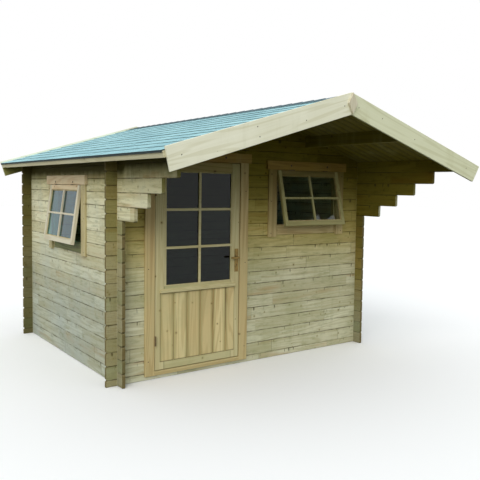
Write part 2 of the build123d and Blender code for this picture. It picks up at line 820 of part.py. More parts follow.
def build_all():
    """Every piece by name."""
    door_hole = (door_centre - door_half_opening, door_centre + door_half_opening, half_course, door_top)
    front_base = half_course + front_window_course * course_height
    front_hole = (front_window_centre - window_half_opening, front_window_centre + window_half_opening,
                  front_base, front_base + window_height)
    side_base = side_window_course * course_height
    side_hole = (-window_half_opening, window_half_opening, side_base, side_base + window_height)
    walls = {
        "front": end_wall_logs(front_wall, [door_hole, front_hole]),
        "back": end_wall_logs(back_wall, []),
        "left": side_wall_logs(left_wall, 1, [side_hole]),
        "right": side_wall_logs(right_wall, -1, []),
    }
    pieces = {}
    for name, logs in walls.items():
        pieces[name + "_wall_odd_courses"] = every_second(logs, 0)
        pieces[name + "_wall_even_courses"] = every_second(logs, 1)
    slopes = (("left", -1, front_left_lower_overrun, front_left_upper_overrun),
              ("right", 1, front_right_lower_overrun, front_right_upper_overrun))
    for name, side, lower, upper in slopes:
        pieces[name + "_roof_deck"] = roof_deck(side)
        pieces[name + "_roof_shingles"] = roof_shingles(side)
        front_board = bargeboard(side, roof_front + bargeboard_thickness, lower, upper)
        pieces["front_" + name + "_bargeboard"] = front_board
        pieces["back_" + name + "_bargeboard"] = bargeboard(side, roof_back)
    pieces["apex_plates"] = apex_plates()
    pieces["ridge_cap"] = ridge_cap()
    pieces["ridge_purlin"] = ridge_purlin()
    pieces["side_purlins"] = side_purlins()
    pieces["eave_fascias"] = eave_fascias()
    pieces["floor_boards"] = floor_boards()
    pieces["floor_bearers"] = floor_bearers()
    pieces["door_jambs"] = door_jambs()
    pieces["door_head"] = door_head()
    pieces["door_threshold"] = door_threshold()
    pieces["door_stiles"] = door_stiles()
    pieces["door_rails"] = door_rails()
    pieces["door_panel"] = door_panel()
    pieces["door_weather_bar"] = door_weather_bar()
    pieces["door_glass"] = door_glass()
    pieces["door_hinge_posts"] = door_hinge_posts()
    pieces["door_hinge_knuckles"] = door_hinge_knuckles()
    pieces["door_handle_plates"] = door_handle_plates()
    pieces["door_handle"] = door_handle()
    windows = (("front", front_wall, front_window_centre, front_base, front_sash_angle),
               ("side", left_wall, 0, side_base, side_sash_angle))
    for name, wall, middle, base, angle in windows:
        plane = sash_plane(wall, middle, base, angle)
        pieces[name + "_window_jambs"] = window_jambs(wall, middle, base)
        pieces[name + "_window_head_and_sill"] = window_head_and_sill(wall, middle, base)
        pieces[name + "_window_stiles"] = sash_stiles(plane)
        pieces[name + "_window_rails"] = sash_rails(plane)
        pieces[name + "_window_glass"] = sash_glass(plane)
        pieces[name + "_window_hinges"] = window_hinges(wall, middle, base, plane)
    return pieces


os.makedirs("parts", exist_ok=True)
for name, piece in build_all().items():
    piece.label = name
    export_step(piece, "parts/" + name + ".step")
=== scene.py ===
"""Looks of a garden log cabin: weathered log walls, felt shingle roof, pine joinery and a plain stage.

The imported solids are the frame. This file gives them their timber, glass and metal, lays the shingles,
ridge capping, roof boards and floor boards, and adds glazing bars, beads, nails, bolts and screws.
"""

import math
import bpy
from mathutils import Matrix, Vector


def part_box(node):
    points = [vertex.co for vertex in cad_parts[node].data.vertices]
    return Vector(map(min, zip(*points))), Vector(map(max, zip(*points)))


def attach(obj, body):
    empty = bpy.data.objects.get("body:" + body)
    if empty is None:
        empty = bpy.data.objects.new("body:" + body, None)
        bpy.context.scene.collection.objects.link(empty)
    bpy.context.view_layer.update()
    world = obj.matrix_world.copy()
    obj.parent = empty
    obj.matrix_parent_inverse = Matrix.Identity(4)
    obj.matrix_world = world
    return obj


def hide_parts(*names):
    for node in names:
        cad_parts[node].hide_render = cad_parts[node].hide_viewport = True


bl_info = {
    "name": "Garden Log Cabin",
    "version": (1, 0, 0),
    "blender": (4, 5, 0),
    "location": "3D View > Sidebar > Cabin",
    "description": "Dresses the log cabin with its timber, shingles, joinery details and stage",
    "category": "Object",
}

import bmesh
import bpy
from bpy.props import FloatProperty, FloatVectorProperty, IntProperty, PointerProperty
from mathutils import Euler, Matrix, Vector

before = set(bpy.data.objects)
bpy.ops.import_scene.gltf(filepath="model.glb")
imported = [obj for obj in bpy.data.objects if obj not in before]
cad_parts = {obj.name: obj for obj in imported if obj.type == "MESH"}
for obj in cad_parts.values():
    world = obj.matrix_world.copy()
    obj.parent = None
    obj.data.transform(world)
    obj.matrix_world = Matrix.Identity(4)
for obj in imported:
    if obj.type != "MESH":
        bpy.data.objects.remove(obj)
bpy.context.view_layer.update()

# The two slopes of the roof, and the way that each lies from the ridge
HANDS = (("left", -1), ("right", 1))

# Lightest wood and summer grain of each kind of joinery, as everyday 0 to 255 colours
WOODS = {
    "casing": ("door casing", (213, 193, 141), (170, 138, 84)),
    "trim": ("side window casing", (204, 193, 150), (166, 148, 100)),
    "lintel": ("side window lintel", (232, 214, 178), (198, 164, 118)),
    # head: the door's and the front window's lintels, darker than the side lintel as painted shade of the
    # canopy
    "head": ("sheltered lintels", (166, 138, 66), (122, 90, 30)),
    "stile": ("door frame", (216, 206, 160), (190, 174, 122)),
    "panel": ("door panel", (245, 228, 173), (192, 164, 108)),
    "sash": ("side sash", (220, 214, 192), (188, 176, 146)),
    # shade: the front sash, darker than the side sash as painted shade of the canopy
    "shade": ("front sash", (180, 174, 122), (142, 132, 80)),
    "barge": ("left bargeboards", (244, 243, 223), (212, 208, 174)),
    "green": ("right bargeboards", (224, 226, 196), (194, 194, 154)),
    "fascia": ("eave fascias", (216, 211, 180), (182, 172, 134)),
    # roof: deck and purlins, dark and yellow as painted shade under the canopy
    "roof": ("deck and purlins", (118, 109, 28), (86, 76, 16)),
    "floor": ("floor", (204, 186, 138), (164, 138, 90)),
}


def srgb(red, green, blue):
    """Scene colour of an everyday 0 to 255 colour."""
    shares = [value / 255 for value in (red, green, blue)]
    return tuple(s / 12.92 if s <= 0.04045 else ((s + 0.055) / 1.055) ** 2.4 for s in shares)


def length_property(name, description, default):
    """A size in metres that a user may change."""
    return FloatProperty(
        name=name, description=description, default=default, min=0, unit="LENGTH", precision=4
    )


def angle_property(name, description, degrees):
    """An angle that a user may change."""
    return FloatProperty(name=name, description=description, default=math.radians(degrees), subtype="ANGLE")


def colour_property(name, description, rgb):
    """A colour that a user may change, given as an everyday 0 to 255 colour."""
    return FloatVectorProperty(
        name=name, description=description, default=srgb(*rgb), size=3, min=0, max=1, subtype="COLOR"
    )


class CabinSizes(bpy.types.PropertyGroup):
    """Sizes of what is laid over the solids."""

    course: length_property("Course", "Height of one log", 0.115)
    log_piece: length_property("Log piece", "Length of the timbers that a log is jointed from", 0.9)
    pitch: angle_property("Roof pitch", "Slope of the roof", 17)
    shingle_tab: length_property("Shingle tab", "Width of one shingle tab", 0.25)
    shingle_exposure: length_property("Shingle exposure", "Height of a shingle row left showing", 0.143)
    shingle_slot: length_property("Shingle slot", "Gap between two tabs", 0.007)
    shingle_thickness: length_property("Shingle thickness", "Thickness of the felt", 0.0042)
    drip: length_property("Drip", "Depth of the felt that hangs over the fascia", 0.008)
    cap_exposure: length_property("Cap exposure", "Length of a ridge cap left showing", 0.143)
    deck_board: length_property("Roof board", "Width that one roof board covers", 0.094)
    deck_thickness: length_property("Roof board thickness", "Thickness of the roof boards", 0.018)
    floor_board: length_property("Floor board", "Width that one floor board covers", 0.112)
    panel_board: length_property("Panel board", "Width of one board of the door's panel", 0.136)
    board_gap: length_property("Board joint", "Open joint between boards", 0.003)
    door_bar: length_property("Door bar", "Width of the door's glazing bars", 0.022)
    sash_bar: length_property("Sash bar", "Width of the windows' glazing bars", 0.018)
    hinge_bead: length_property("Hinge-side bead", "Width of the door's bead beside its hinges", 0.026)
    bead: length_property("Glazing bead", "Width of the beads that hold the panes", 0.009)
    ease: length_property("Eased edge", "Rounding of the planed boards", 0.0022)
    nail: length_property("Nail head", "Radius of a nail head", 0.0046)
    bolt: length_property("Lintel bolt", "Radius of a bolt head in the lintels", 0.010)
    screw: length_property("Screw head", "Radius of a screw head on the handle plates", 0.0036)
    sash_width: length_property("Sash width", "Width of a window sash", 0.786)
    sash_height: length_property("Sash height", "Height of a window sash", 0.55)
    sash_thickness: length_property("Sash thickness", "Thickness of a window sash", 0.03)
    sash_stile: length_property("Sash stile", "Width of a sash's uprights", 0.038)
    sash_rail: length_property("Sash rail", "Depth of a sash's rails", 0.046)
    sash_glass: length_property("Sash glass", "Depth of the pane's middle behind the sash's face", 0.021)
    front_sash: angle_property("Front sash", "Angle at which the front window stands open", 14)
    side_sash: angle_property("Side sash", "Angle at which the side window stands open", 8.3)
    seed: IntProperty(name="Seed", description="Seed of every random choice", default=7)


class CabinColours(bpy.types.PropertyGroup):
    """Colours of the finishes. The joinery's woods are added below."""

    log_pale: colour_property("Pale log", "Lightest wood of the walls", (240, 238, 208))
    log_deep: colour_property("Deep log", "Summer grain of the walls", (192, 184, 142))
    log_silver: colour_property("Silver log", "Weathered side walls", (206, 210, 192))
    log_olive: colour_property("Olive log", "Preserved front and back walls", (176, 175, 128))
    log_heart: colour_property("Heartwood", "Orange heartwood that shows in some logs", (190, 146, 92))
    # Log foot: the side walls grow darker and bluer towards their foot
    log_foot: colour_property("Log foot", "Damp that greys the foot of the side walls", (214, 222, 236))
    # Sheltered log is painted shade: it darkens the wood under the canopy, under the eaves and towards the
    # edges of boards
    log_painted_shade: colour_property("Sheltered log", "Darker wood under the canopy", (154, 153, 98))
    # Unbleached log is yellower wood where rain seldom reaches, and partly stands for the yellow tone of
    # painted shade
    log_amber: colour_property("Unbleached log", "Yellower wood that rain seldom reaches", (252, 234, 172))
    # Dank log is painted shade on the back wall's log ends behind the corners
    log_rear_shade: colour_property("Dank log", "Shade on the rear log ends", (178, 178, 166))
    # The log-end colours are partly the ends' own browning and greening, partly painted shade of the corners
    # they stand in
    end_warm: colour_property("Warm log end", "Log ends that have browned", (144, 126, 78))
    end_green: colour_property("Green log end", "Log ends that have greened", (126, 132, 82))
    end_grain: colour_property("End grain", "Sawn ends of the logs", (96, 80, 46))
    # Joint is also the colour of painted shadows: under the door's threshold, along the door panel's edges
    # and on the side window's sill
    joint: colour_property("Joint", "Dirt in the joint between two logs", (66, 58, 34))
    # Stain is partly a real water stain, partly painted shadow of the eaves
    stain: colour_property("Stain", "Water stain under the eaves", (70, 65, 22))
    knot: colour_property("Knot", "Heart of a knot", (88, 58, 32))
    felt: colour_property("Felt", "Mineral face of the shingles", (168, 216, 222))
    felt_dark: colour_property("Dark felt", "Shaded granules of the shingles", (100, 150, 162))
    ridge_felt: colour_property("Ridge felt", "Mineral face of the ridge caps", (96, 128, 140))
    felt_edge: colour_property("Felt edge", "Cut edges of the felt and the starter strip", (46, 60, 62))
    bronze: colour_property("Bronze", "Door handle and plates", (138, 114, 62))
    steel: colour_property("Steel", "Nails and screws", (70, 58, 44))
    hinge: colour_property("Hinge", "Browned steel of the hinges", (112, 94, 62))
    ground_bounce: colour_property("Ground bounce", "Light that the ground returns", (70, 72, 46))


def wood_properties():
    """Two colours for each kind of joinery, by name."""
    made = {}
    for wood, (place, pale, deep) in WOODS.items():
        made[wood + "_pale"] = colour_property("Pale " + place, "Lightest wood of the " + place, pale)
        made[wood + "_deep"] = colour_property("Deep " + place, "Summer grain of the " + place, deep)
    return made


CabinColours.__annotations__.update(wood_properties())


def sizes():
    """The scene's sizes."""
    return bpy.context.scene.cabin_sizes


def colours():
    """The scene's colours."""
    return bpy.context.scene.cabin_colours


def wood_pair(wood):
    """Pale and deep colour of a kind of joinery."""
    return getattr(colours(), wood + "_pale"), getattr(colours(), wood + "_deep")


class Flow:
    """A value that leaves a node. Sums of flows are written as sums, and become nodes."""

    def __init__(self, socket):
        self.socket = socket
        self.tree = socket.id_data

    def into(self, socket):
        """Links the value to a node's input."""
        self.tree.links.new(self.socket, socket)

    def __add__(self, other):
        return maths("ADD", self, other)

    def __sub__(self, other):
        return maths("SUBTRACT", self, other)

    def __rsub__(self, other):
        return maths("SUBTRACT", other, self)

    def __mul__(self, other):
        return maths("MULTIPLY", self, other)

    def __truediv__(self, other):
        return maths("DIVIDE", self, other)

    def __abs__(self):
        return maths("ABSOLUTE", self)


class Outlets:
    """The outputs of a node as flows, by name or number."""

    def __init__(self, made):
        self.made = made

    def __getitem__(self, key):
        return Flow(self.made.outputs[key])


def source(tree, kind, inputs=None, **settings):
    """A node with its settings and inputs, as its outlets. An input is a flow or a value."""
    made = tree.nodes.new(kind)
    for key, value in settings.items():
        setattr(made, key, value)
    for key, value in (inputs or {}).items():
        socket = made.inputs[key]
        if isinstance(value, Flow):
            value.into(socket)
        elif socket.type == "RGBA":
            socket.default_value = (*value, 1.0)
        else:
            socket.default_value = value
    return Outlets(made)


def node(kind, inputs, **settings):
    """A node beside the flows that enter it, as its outlets."""
    tree = next(value.tree for value in inputs.values() if isinstance(value, Flow))
    return source(tree, kind, inputs, **settings)


def maths(operation, first, second=0.0, clamp=False):
    """Result of one sum."""
    return node("ShaderNodeMath", {0: first, 1: second}, operation=operation, use_clamp=clamp)[0]


def larger(first, second):
    """The larger of two values."""
    return maths("MAXIMUM", first, second)


def smaller(first, second):
    """The smaller of two values."""
    return maths("MINIMUM", first, second)


def vector_of(x, y, z):
    """A vector from three values."""
    return node("ShaderNodeCombineXYZ", {0: x, 1: y, 2: z})[0]


def axes(vector):
    """The three values of a vector."""
    return node("ShaderNodeSeparateXYZ", {0: vector})


def ramp(value, low, high, out_low=0.0, out_high=1.0):
    """Value eased from one range to another."""
    limits = {0: value, 1: low, 2: high, 3: out_low, 4: out_high}
    return node("ShaderNodeMapRange", limits, interpolation_type="SMOOTHSTEP")[0]


def noise(vector, scale, detail=3.0, roughness=0.55, distortion=0.0):
    """Noise between 0 and 1. A scale of three factors stretches it along the axes."""
    if isinstance(scale, tuple):
        vector = node("ShaderNodeVectorMath", {0: vector, 1: scale}, operation="MULTIPLY")[0]
        scale = 1.0
    return node("ShaderNodeTexNoise", {
        "Vector": vector, "Scale": scale, "Detail": detail, "Roughness": roughness,
        "Distortion": distortion})[0]


def chance_of(number):
    """A random value between 0 and 1 that belongs to a number."""
    return node("ShaderNodeTexWhiteNoise", {"W": number}, noise_dimensions="1D")["Value"]


def mixed(share, first, second, blend="MIX"):
    """Blend of two colours."""
    return node("ShaderNodeMix", {0: share, 6: first, 7: second}, data_type="RGBA", blend_type=blend)[2]


def open_group(name, inputs, outputs, kind="ShaderNodeTree"):
    """An empty node group with named sockets, each listed under its type."""
    tree = bpy.data.node_groups.new(name, kind)
    for way, sockets in (("INPUT", inputs), ("OUTPUT", outputs)):
        for socket_type, labels in sockets.items():
            for label in labels:
                tree.interface.new_socket(label, in_out=way, socket_type="NodeSocket" + socket_type)
    return tree, Outlets(tree.nodes.new("NodeGroupInput")), tree.nodes.new("NodeGroupOutput").inputs


def grouped(build, inputs):
    """Outlets of a shader group beside the flows that enter it. The group is built when it is first used."""
    name = build.__name__
    return node("ShaderNodeGroup", inputs, node_tree=bpy.data.node_groups.get(name) or build(name))


def sawn_pine(name):
    """Sawn pine: x of the vector runs along the grain and y across the face of the board."""
    inputs = {"Vector": ["Vector"], "Color": ["Pale", "Deep", "Knot"], "Float": ["Board", "Figure", "Knots"]}
    tree, given, out = open_group(name, inputs, {"Color": ["Color"], "Float": ["Height"]})
    shift = vector_of(given["Board"] * 7.31, given["Board"] * 3.77, 0.0)
    place = node("ShaderNodeVectorMath", {0: given["Vector"], 1: shift}, operation="ADD")[0]
    fibre = noise(place, (3.0, 160.0, 160.0), 4.0, 0.6)
    streak = noise(place, (0.9, 26.0, 26.0), 3.0, 0.5, 0.6)
    swell = noise(place, (0.45, 7.0, 7.0), 2.0, 0.5, 0.4)
    ring = ramp(maths("SINE", swell * 62.0), -0.2, 1.0)
    spot = axes(place)
    field = {"Vector": vector_of(spot[0], spot[1], 0.0), "Scale": 6.6, "Randomness": 1.0}
    cells = node("ShaderNodeTexVoronoi", field, voronoi_dimensions="2D")
    chance = node("ShaderNodeSeparateColor", {0: cells["Color"]})[0]
    radius = ramp(chance, 1.0 - given["Knots"], 1.0, 0.0, 0.062)
    wobble = (streak - 0.5) * 0.02
    nearness = (cells["Distance"] + wobble) / larger(radius, 0.0001)
    grown = ramp(radius, 0.004, 0.014)
    knot = ramp(nearness, 1.0, 0.55) * grown
    halo = ramp(nearness, 2.6, 0.9) * grown
    figure = (ring * 0.55 + streak * 0.55) * given["Figure"]
    tone = maths("ADD", figure, (fibre - 0.5) * 0.35, clamp=True)
    wood = mixed(tone, given["Pale"], given["Deep"])
    wood = mixed(halo * 0.45, wood, given["Deep"], "MULTIPLY")
    mixed(knot * 0.85, wood, given["Knot"]).into(out["Color"])
    (fibre * 0.6 - tone * 0.4).into(out["Height"])
    return tree


def outdoor_weathering(name):
    """Silvering, algae and rain marks on outdoor timber. The vector is the place on the cabin."""
    inputs = {"Color": ["Color", "Tint"], "Vector": ["Vector"], "Float": ["Amount", "Foot"]}
    tree, given, out = open_group(name, inputs, {"Color": ["Color"]})
    patch = noise(given["Vector"], 1.7, 5.0, 0.62)
    smear = noise(given["Vector"], (9.0, 9.0, 1.3), 4.0, 0.6)
    mask = ramp(patch, 0.38, 0.72) * given["Amount"] + ramp(smear, 0.5, 0.8) * 0.25
    foot = ramp(axes(given["Vector"])[2], 0.75, 0.0) * given["Foot"]
    mixed(maths("ADD", mask, foot, clamp=True), given["Color"], given["Tint"]).into(out["Color"])
    return tree


def log_courses(name):
    """Log courses jointed from shorter timbers: numbers for each, the joints and the rise in a log."""
    inputs = {"Vector": ["Vector"], "Float": ["Course", "Offset", "Length"]}
    labels = ["Log", "Chance", "Second Chance", "Joint", "Seam", "Rise"]
    tree, given, out = open_group(name, inputs, {"Float": labels})
    spot = axes(given["Vector"])
    level = (spot[1] + given["Offset"]) / given["Course"]
    log = maths("FLOOR", level)
    rise = maths("FRACT", level)
    reach = spot[0] / given["Length"] + chance_of(log) * 5.0
    part = maths("FRACT", reach)
    timber = {"Vector": vector_of(log, maths("FLOOR", reach), 0.0)}
    chance = node("ShaderNodeTexWhiteNoise", timber, noise_dimensions="2D")
    more = node("ShaderNodeSeparateColor", {0: chance["Color"]})
    lifted = rise + (noise(given["Vector"], 9.0, 3.0, 0.6) - 0.5) * 0.05
    edge = smaller(lifted, 1.0 - lifted)
    aside = smaller(part, 1.0 - part) * given["Length"]
    seam = ramp(aside, 0.0042, 0.0014) * ramp(more[2], 0.35, 0.6)
    for label, value in zip(labels, (log, chance["Value"], more[1], ramp(edge, 0.062, 0.012), seam, rise)):
        value.into(out[label])
    return tree


def joint_grime_and_shade(name):
    """Dirt and painted shade within a width of two limits of a value, such as the ends of a board."""
    tree, given, out = open_group(name, {"Float": ["Value", "Low", "High", "Width"]}, {"Float": ["Mask"]})
    near = smaller(given["Value"] - given["Low"], given["High"] - given["Value"]) / given["Width"]
    ramp(near, 1.0, 0.35).into(out["Mask"])
    return tree


def new_material(name):
    """An empty material: returns the material, its shader's inputs and the outlets of its coordinates."""
    material = bpy.data.materials.new(name)
    material.use_nodes = True
    tree = material.node_tree
    tree.nodes.clear()
    shader = tree.nodes.new("ShaderNodeBsdfPrincipled")
    output = tree.nodes.new("ShaderNodeOutputMaterial")
    tree.links.new(shader.outputs[0], output.inputs[0])
    return material, shader.inputs, source(tree, "ShaderNodeTexCoord")


def finish_surface(shader, colour, height, roughness, bump=0.25, distance=0.002):
    """Colour, roughness and relief of a surface."""
    colour.into(shader["Base Color"])
    roughness.into(shader["Roughness"])
    relief = node("ShaderNodeBump", {"Height": height, "Strength": bump, "Distance": distance})
    relief[0].into(shader["Normal"])


def attribute(place, name):
    """A value stored on the mesh, beside the flow of its place."""
    return source(place.tree, "ShaderNodeAttribute", attribute_name=name)["Fac"]


def along_grain(vector, axis):
    """The vector with its grain axis first, the face's height second and its depth last."""
    x, y, z = axes(vector)
    if axis == "Z":
        return vector_of(z, x + y, y)
    return vector_of(x, z, y) if axis == "X" else vector_of(y, z, x)


class LogWall:
    """Weathered logs along one axis: toned timber by timber, browned past the corner and partly darkened
    there as painted shade, with painted shade under the canopy and the eaves, and dirty joints.
    """

    # Places on the cabin: the front wall's face, the foot of the stepped logs, and the doorway
    front_face = -1.155
    step_foot = 1.38
    door_middle = -0.618
    door_reach = 0.55

    def __init__(self, name, axis, offset, corner, face):
        self.material, self.shader, coords = new_material(name)
        self.place = coords["Object"]
        self.x, self.y, self.z = axes(self.place)
        self.facing = axes(coords["Normal"])
        self.outer = maths("SIGN", self.x) * self.facing[0]
        self.lengthwise = along_grain(self.place, axis)
        self.course = grouped(log_courses, {
            "Vector": self.lengthwise, "Course": sizes().course, "Offset": offset,
            "Length": sizes().log_piece})
        self.reach, self.end = (self.x, self.facing[0]) if axis == "X" else (self.y, self.facing[1])
        self.past = ramp(abs(self.reach), corner - 0.004, corner + 0.006)
        self.corner = corner
        self.face = face

    def timber(self, weathered, foot):
        """Sawn logs, each of its own tone, with heartwood, weathering, mottle and a foot that grows darker
        and bluer.
        """
        tint, course = colours(), self.course
        self.grain = grouped(sawn_pine, {
            "Vector": self.lengthwise, "Pale": tint.log_pale, "Deep": tint.log_deep, "Knot": tint.knot,
            "Board": course["Log"] + course["Chance"], "Figure": 0.75, "Knots": 0.8})
        wood = mixed(ramp(course["Chance"], 0.15, 1.0, 0.0, 0.6), self.grain["Color"], tint.log_deep)
        patch = noise(self.lengthwise, (1.6, 13.0, 13.0), 3.0, 0.55)
        heart = ramp(patch, 0.48, 0.70) * ramp(course["Second Chance"], 0.4, 1.0, 0.0, 0.6)
        wood = mixed(heart, wood, tint.log_heart)
        wood = grouped(outdoor_weathering, {
            "Color": wood, "Vector": self.place, "Tint": weathered, "Amount": 0.6, "Foot": 0.0})["Color"]
        mottle = noise(self.lengthwise, (8.0, 42.0, 42.0), 5.0, 0.7)
        wood = mixed(ramp(mottle, 0.48, 0.74, 0.0, 0.46), wood, tint.end_green)
        # Darker and bluer towards the foot of the wall
        return mixed(ramp(self.z, 1.3, 0.45) * foot, wood, tint.log_foot, "MULTIPLY")

    def aged_and_shaded_ends(self, wood, fresh):
        """Browned and greened wood past the corners, partly painted shade of the corners, and sawn ends with
        their rings, less so where they are fresh.
        """
        tint, course = colours(), self.course
        aged = mixed(ramp(course["Second Chance"], 0.2, 0.8, 0.25, 0.8), tint.end_warm, tint.end_green)
        fleck = noise(self.place, (60.0, 60.0, 60.0), 3.0, 0.5, 1.2)
        aged = mixed(ramp(fleck, 0.45, 0.75, 0.0, 0.4), aged, tint.joint)
        # Past the corners the wood darkens: partly its own browning, partly painted shade of the corner
        wood = mixed(self.past, wood, mixed(0.3, aged, wood))
        deep = abs(axes(self.lengthwise)[2]) - (self.face - 0.07)
        high = (course["Rise"] - course["Second Chance"]) * sizes().course
        radius = node("ShaderNodeVectorMath", {0: vector_of(deep, high, 0.0)}, operation="LENGTH")["Value"]
        rings = ramp(maths("SINE", radius * 1300.0), -0.6, 1.0, 0.0, 0.6)
        ending = ramp(abs(self.end), 0.55, 0.75) * (0.85 - fresh)
        return mixed(ending, wood, mixed(rings, tint.end_grain, aged))

    def amber_and_canopy_shade(self, wood, amber, under):
        """Yellower wood where rain seldom comes, partly standing for the yellow tone of shade, and painted
        shade: darker wood under the canopy.
        """
        wood = mixed(amber, wood, colours().log_amber, "MULTIPLY")
        # Painted shade of the canopy
        return mixed(under, wood, colours().log_painted_shade, "MULTIPLY")

    def across(self, wood):
        """Front and back walls: yellowed and darkened as painted shade under the canopy, painted shade on the
        rear log ends behind the corners and a painted shadow under the door's threshold.
        """
        front = ramp(self.facing[1], -0.2, -0.6) * (1.0 - self.past * 0.5)
        wood = self.aged_and_shaded_ends(wood, 0.0)
        # Painted shade of the canopy, rising up the front wall
        wood = self.amber_and_canopy_shade(wood, front * ramp(self.z, 0.70, 1.40), front * ramp(self.z, 0.95, 1.85))
        # Painted shade on the back wall's log ends behind the corners
        rear = self.past * ramp(self.y * self.facing[1], -0.2, -0.6)
        wood = mixed(rear, wood, colours().log_rear_shade, "MULTIPLY")
        # Painted shadow of the threshold along the foot of the wall under the door
        doorway = ramp(abs(self.x - self.door_middle), self.door_reach, self.door_reach - 0.05)
        threshold_shadow = doorway * ramp(self.z, 0.042, 0.050, 0.0, 0.7) * front * ramp(self.z, 0.065, 0.060)
        return mixed(threshold_shadow, wood, colours().joint)

    def along(self, wood):
        """Side walls: the logs that stand ahead of the front wall get painted shade on their inner faces and
        front tips and stay fresh at their ends, and a stain with painted shade runs under the eaves.
        """
        below = ramp(self.z, self.step_foot + 0.04, self.step_foot - 0.02)
        self.past = self.past * larger(below, ramp(self.y, 0.0, 0.1))
        ahead = ramp(self.y, self.front_face + 0.005, self.front_face - 0.005)
        shaded_inner = ramp(self.outer, -0.2, -0.6)
        stepped = ahead * ramp(self.z, self.step_foot - 0.005, self.step_foot + 0.005)
        # Painted shade on the inner faces, the front tips and the nook of the stepped logs
        tips = ramp(self.facing[1], -0.5, -0.8) * ramp(self.z, 1.46, 1.67, 0.05, 0.9)
        nook = ahead * shaded_inner
        under = larger(stepped * larger(shaded_inner, tips), nook * ramp(self.z, 0.45, self.step_foot, 0.0, 0.5))
        amber = larger(ramp(self.z, 1.35, 1.75, 0.0, 0.35), nook * ramp(self.z, 0.2, 0.9))
        wood = self.aged_and_shaded_ends(wood, stepped * ramp(self.y, -1.28, -1.30, 0.0, 0.75))
        return self.eave_stain_and_shade(self.amber_and_canopy_shade(wood, amber, under))

    def eave_stain_and_shade(self, wood):
        """Ragged water stain under the eaves, with drips below it, darkened further as painted shadow of the
        eaves. It ends higher on the stepped logs.
        """
        drips = noise(self.place, (0.0, 8.0, 2.2), 6.0, 0.7)
        blots = ramp(noise(self.place, (0.0, 3.4, 5.0), 3.0, 0.6), 0.34, 0.62, 0.35, 1.0)
        stain_and_shade = ramp(drips, 0.34, 0.64, 0.05, 0.5) * ramp(self.z, 1.68, 1.77)
        ragged = self.z - ramp(self.y, -1.26, -1.32, 0.0, 0.044) + drips * 0.07
        # The top band is mostly painted shadow of the eaves; the drips and blots are stain
        stain_and_shade = larger(stain_and_shade * blots, ramp(ragged, 1.752, 1.836, 0.0, 0.96))
        outward = ramp(self.outer, 0.3, 0.6)
        # Painted shade: outward faces darken towards the eaves
        painted_eave_shade = ramp(ragged, 1.69, 1.78, 0.0, 0.42) * outward
        wood = mixed(painted_eave_shade, wood, colours().log_painted_shade, "MULTIPLY")
        return mixed(stain_and_shade * outward, wood, colours().stain)

    def finish(self, wood):
        """Dirt in the joints, checks in the wood and the finished surface: returns the material."""
        tint, course = colours(), self.course
        broken = ramp(noise(self.lengthwise, 7.0, 3.0, 0.6), 0.35, 0.62, 0.2, 0.72)
        wood = mixed(course["Joint"] * broken, wood, tint.joint)
        butt = course["Seam"] * ramp(abs(self.reach), self.corner - 0.05, self.corner - 0.06) * 0.42
        check = ramp(noise(self.lengthwise, (34.0, 5.0, 5.0), 2.0, 0.5), 0.64, 0.70)
        check = check * ramp(course["Rise"], 0.62, 0.86, 0.0, 0.7)
        wood = mixed(larger(check, butt), wood, tint.joint)
        rough = ramp(self.grain["Height"], -0.4, 0.6, 0.62, 0.85)
        self.shader["Specular IOR Level"].default_value = 0.07
        finish_surface(self.shader, wood, self.grain["Height"], rough, 0.35)
        return self.material


def timber_material(name, axis, pair, knots=0.4, weather=0.25, tilt=0.0, board=0.0, pitch=0.0, start=0.0,
                    grime_and_shade=(), painted_shade=None):
    """Planed joinery timber along one axis, with worn eased edges.

    It is tilted about Y where it follows the roof, toned board by board where boards have a pitch and
    darkened towards each board's edges as painted shade, dirty or darkened as painted shadow between limits
    along an axis where those are given, and darker from one height to another, as painted shade of the
    canopy, where such a band is given.
    """
    tint = colours()
    pale, deep = pair
    material, shader, coords = new_material(name)
    place = turned = coords["Object"]
    spot = axes(place)
    if tilt:
        turned = node("ShaderNodeMapping", {"Vector": place, "Rotation": (0.0, tilt, 0.0)})[0]
    if pitch:
        count = (spot[1 if axis == "X" else 0] - start) / pitch
        board = maths("FLOOR", count)
    grain = grouped(sawn_pine, {
        "Vector": along_grain(turned, axis), "Pale": pale, "Deep": deep, "Knot": tint.knot, "Board": board,
        "Figure": 0.7, "Knots": knots})
    wood = grain["Color"]
    if pitch:
        wood = mixed(ramp(chance_of(board), 0.1, 0.9, 0.0, 0.4), wood, deep)
        # Painted shade: each board darkens towards its edges
        verge = abs(maths("FRACT", count) - 0.5)
        wood = mixed(ramp(verge, 0.24, 0.5, 0.0, 0.6), wood, tint.log_painted_shade, "MULTIPLY")
    wood = grouped(outdoor_weathering, {
        "Color": wood, "Vector": place, "Tint": tint.log_olive, "Amount": weather,
        "Foot": weather * 0.5})["Color"]
    worn = ramp(noise(place, 24.0, 3.0, 0.6), 0.35, 0.65, 0.15, 0.75)
    wood = mixed(attribute(place, "eased_edge") * worn, wood, pale)
    # Dirt at the rails' ends, and painted shadow along the door panel's edges
    for index, low, high, width in grime_and_shade:
        dirt = grouped(joint_grime_and_shade, {"Value": spot[index], "Low": low, "High": high, "Width": width})["Mask"]
        wood = mixed(dirt * 0.62, wood, tint.joint)
    # Painted shade of the canopy: darker from one height to another
    if painted_shade:
        low, high, slope = painted_shade
        wood = mixed(ramp(spot[2] + abs(spot[0]) * slope, low, high), wood, tint.log_painted_shade, "MULTIPLY")
    shader["Specular IOR Level"].default_value = 0.22
    finish_surface(shader, wood, grain["Height"], ramp(grain["Height"], -0.4, 0.6, 0.5, 0.75))
    return material


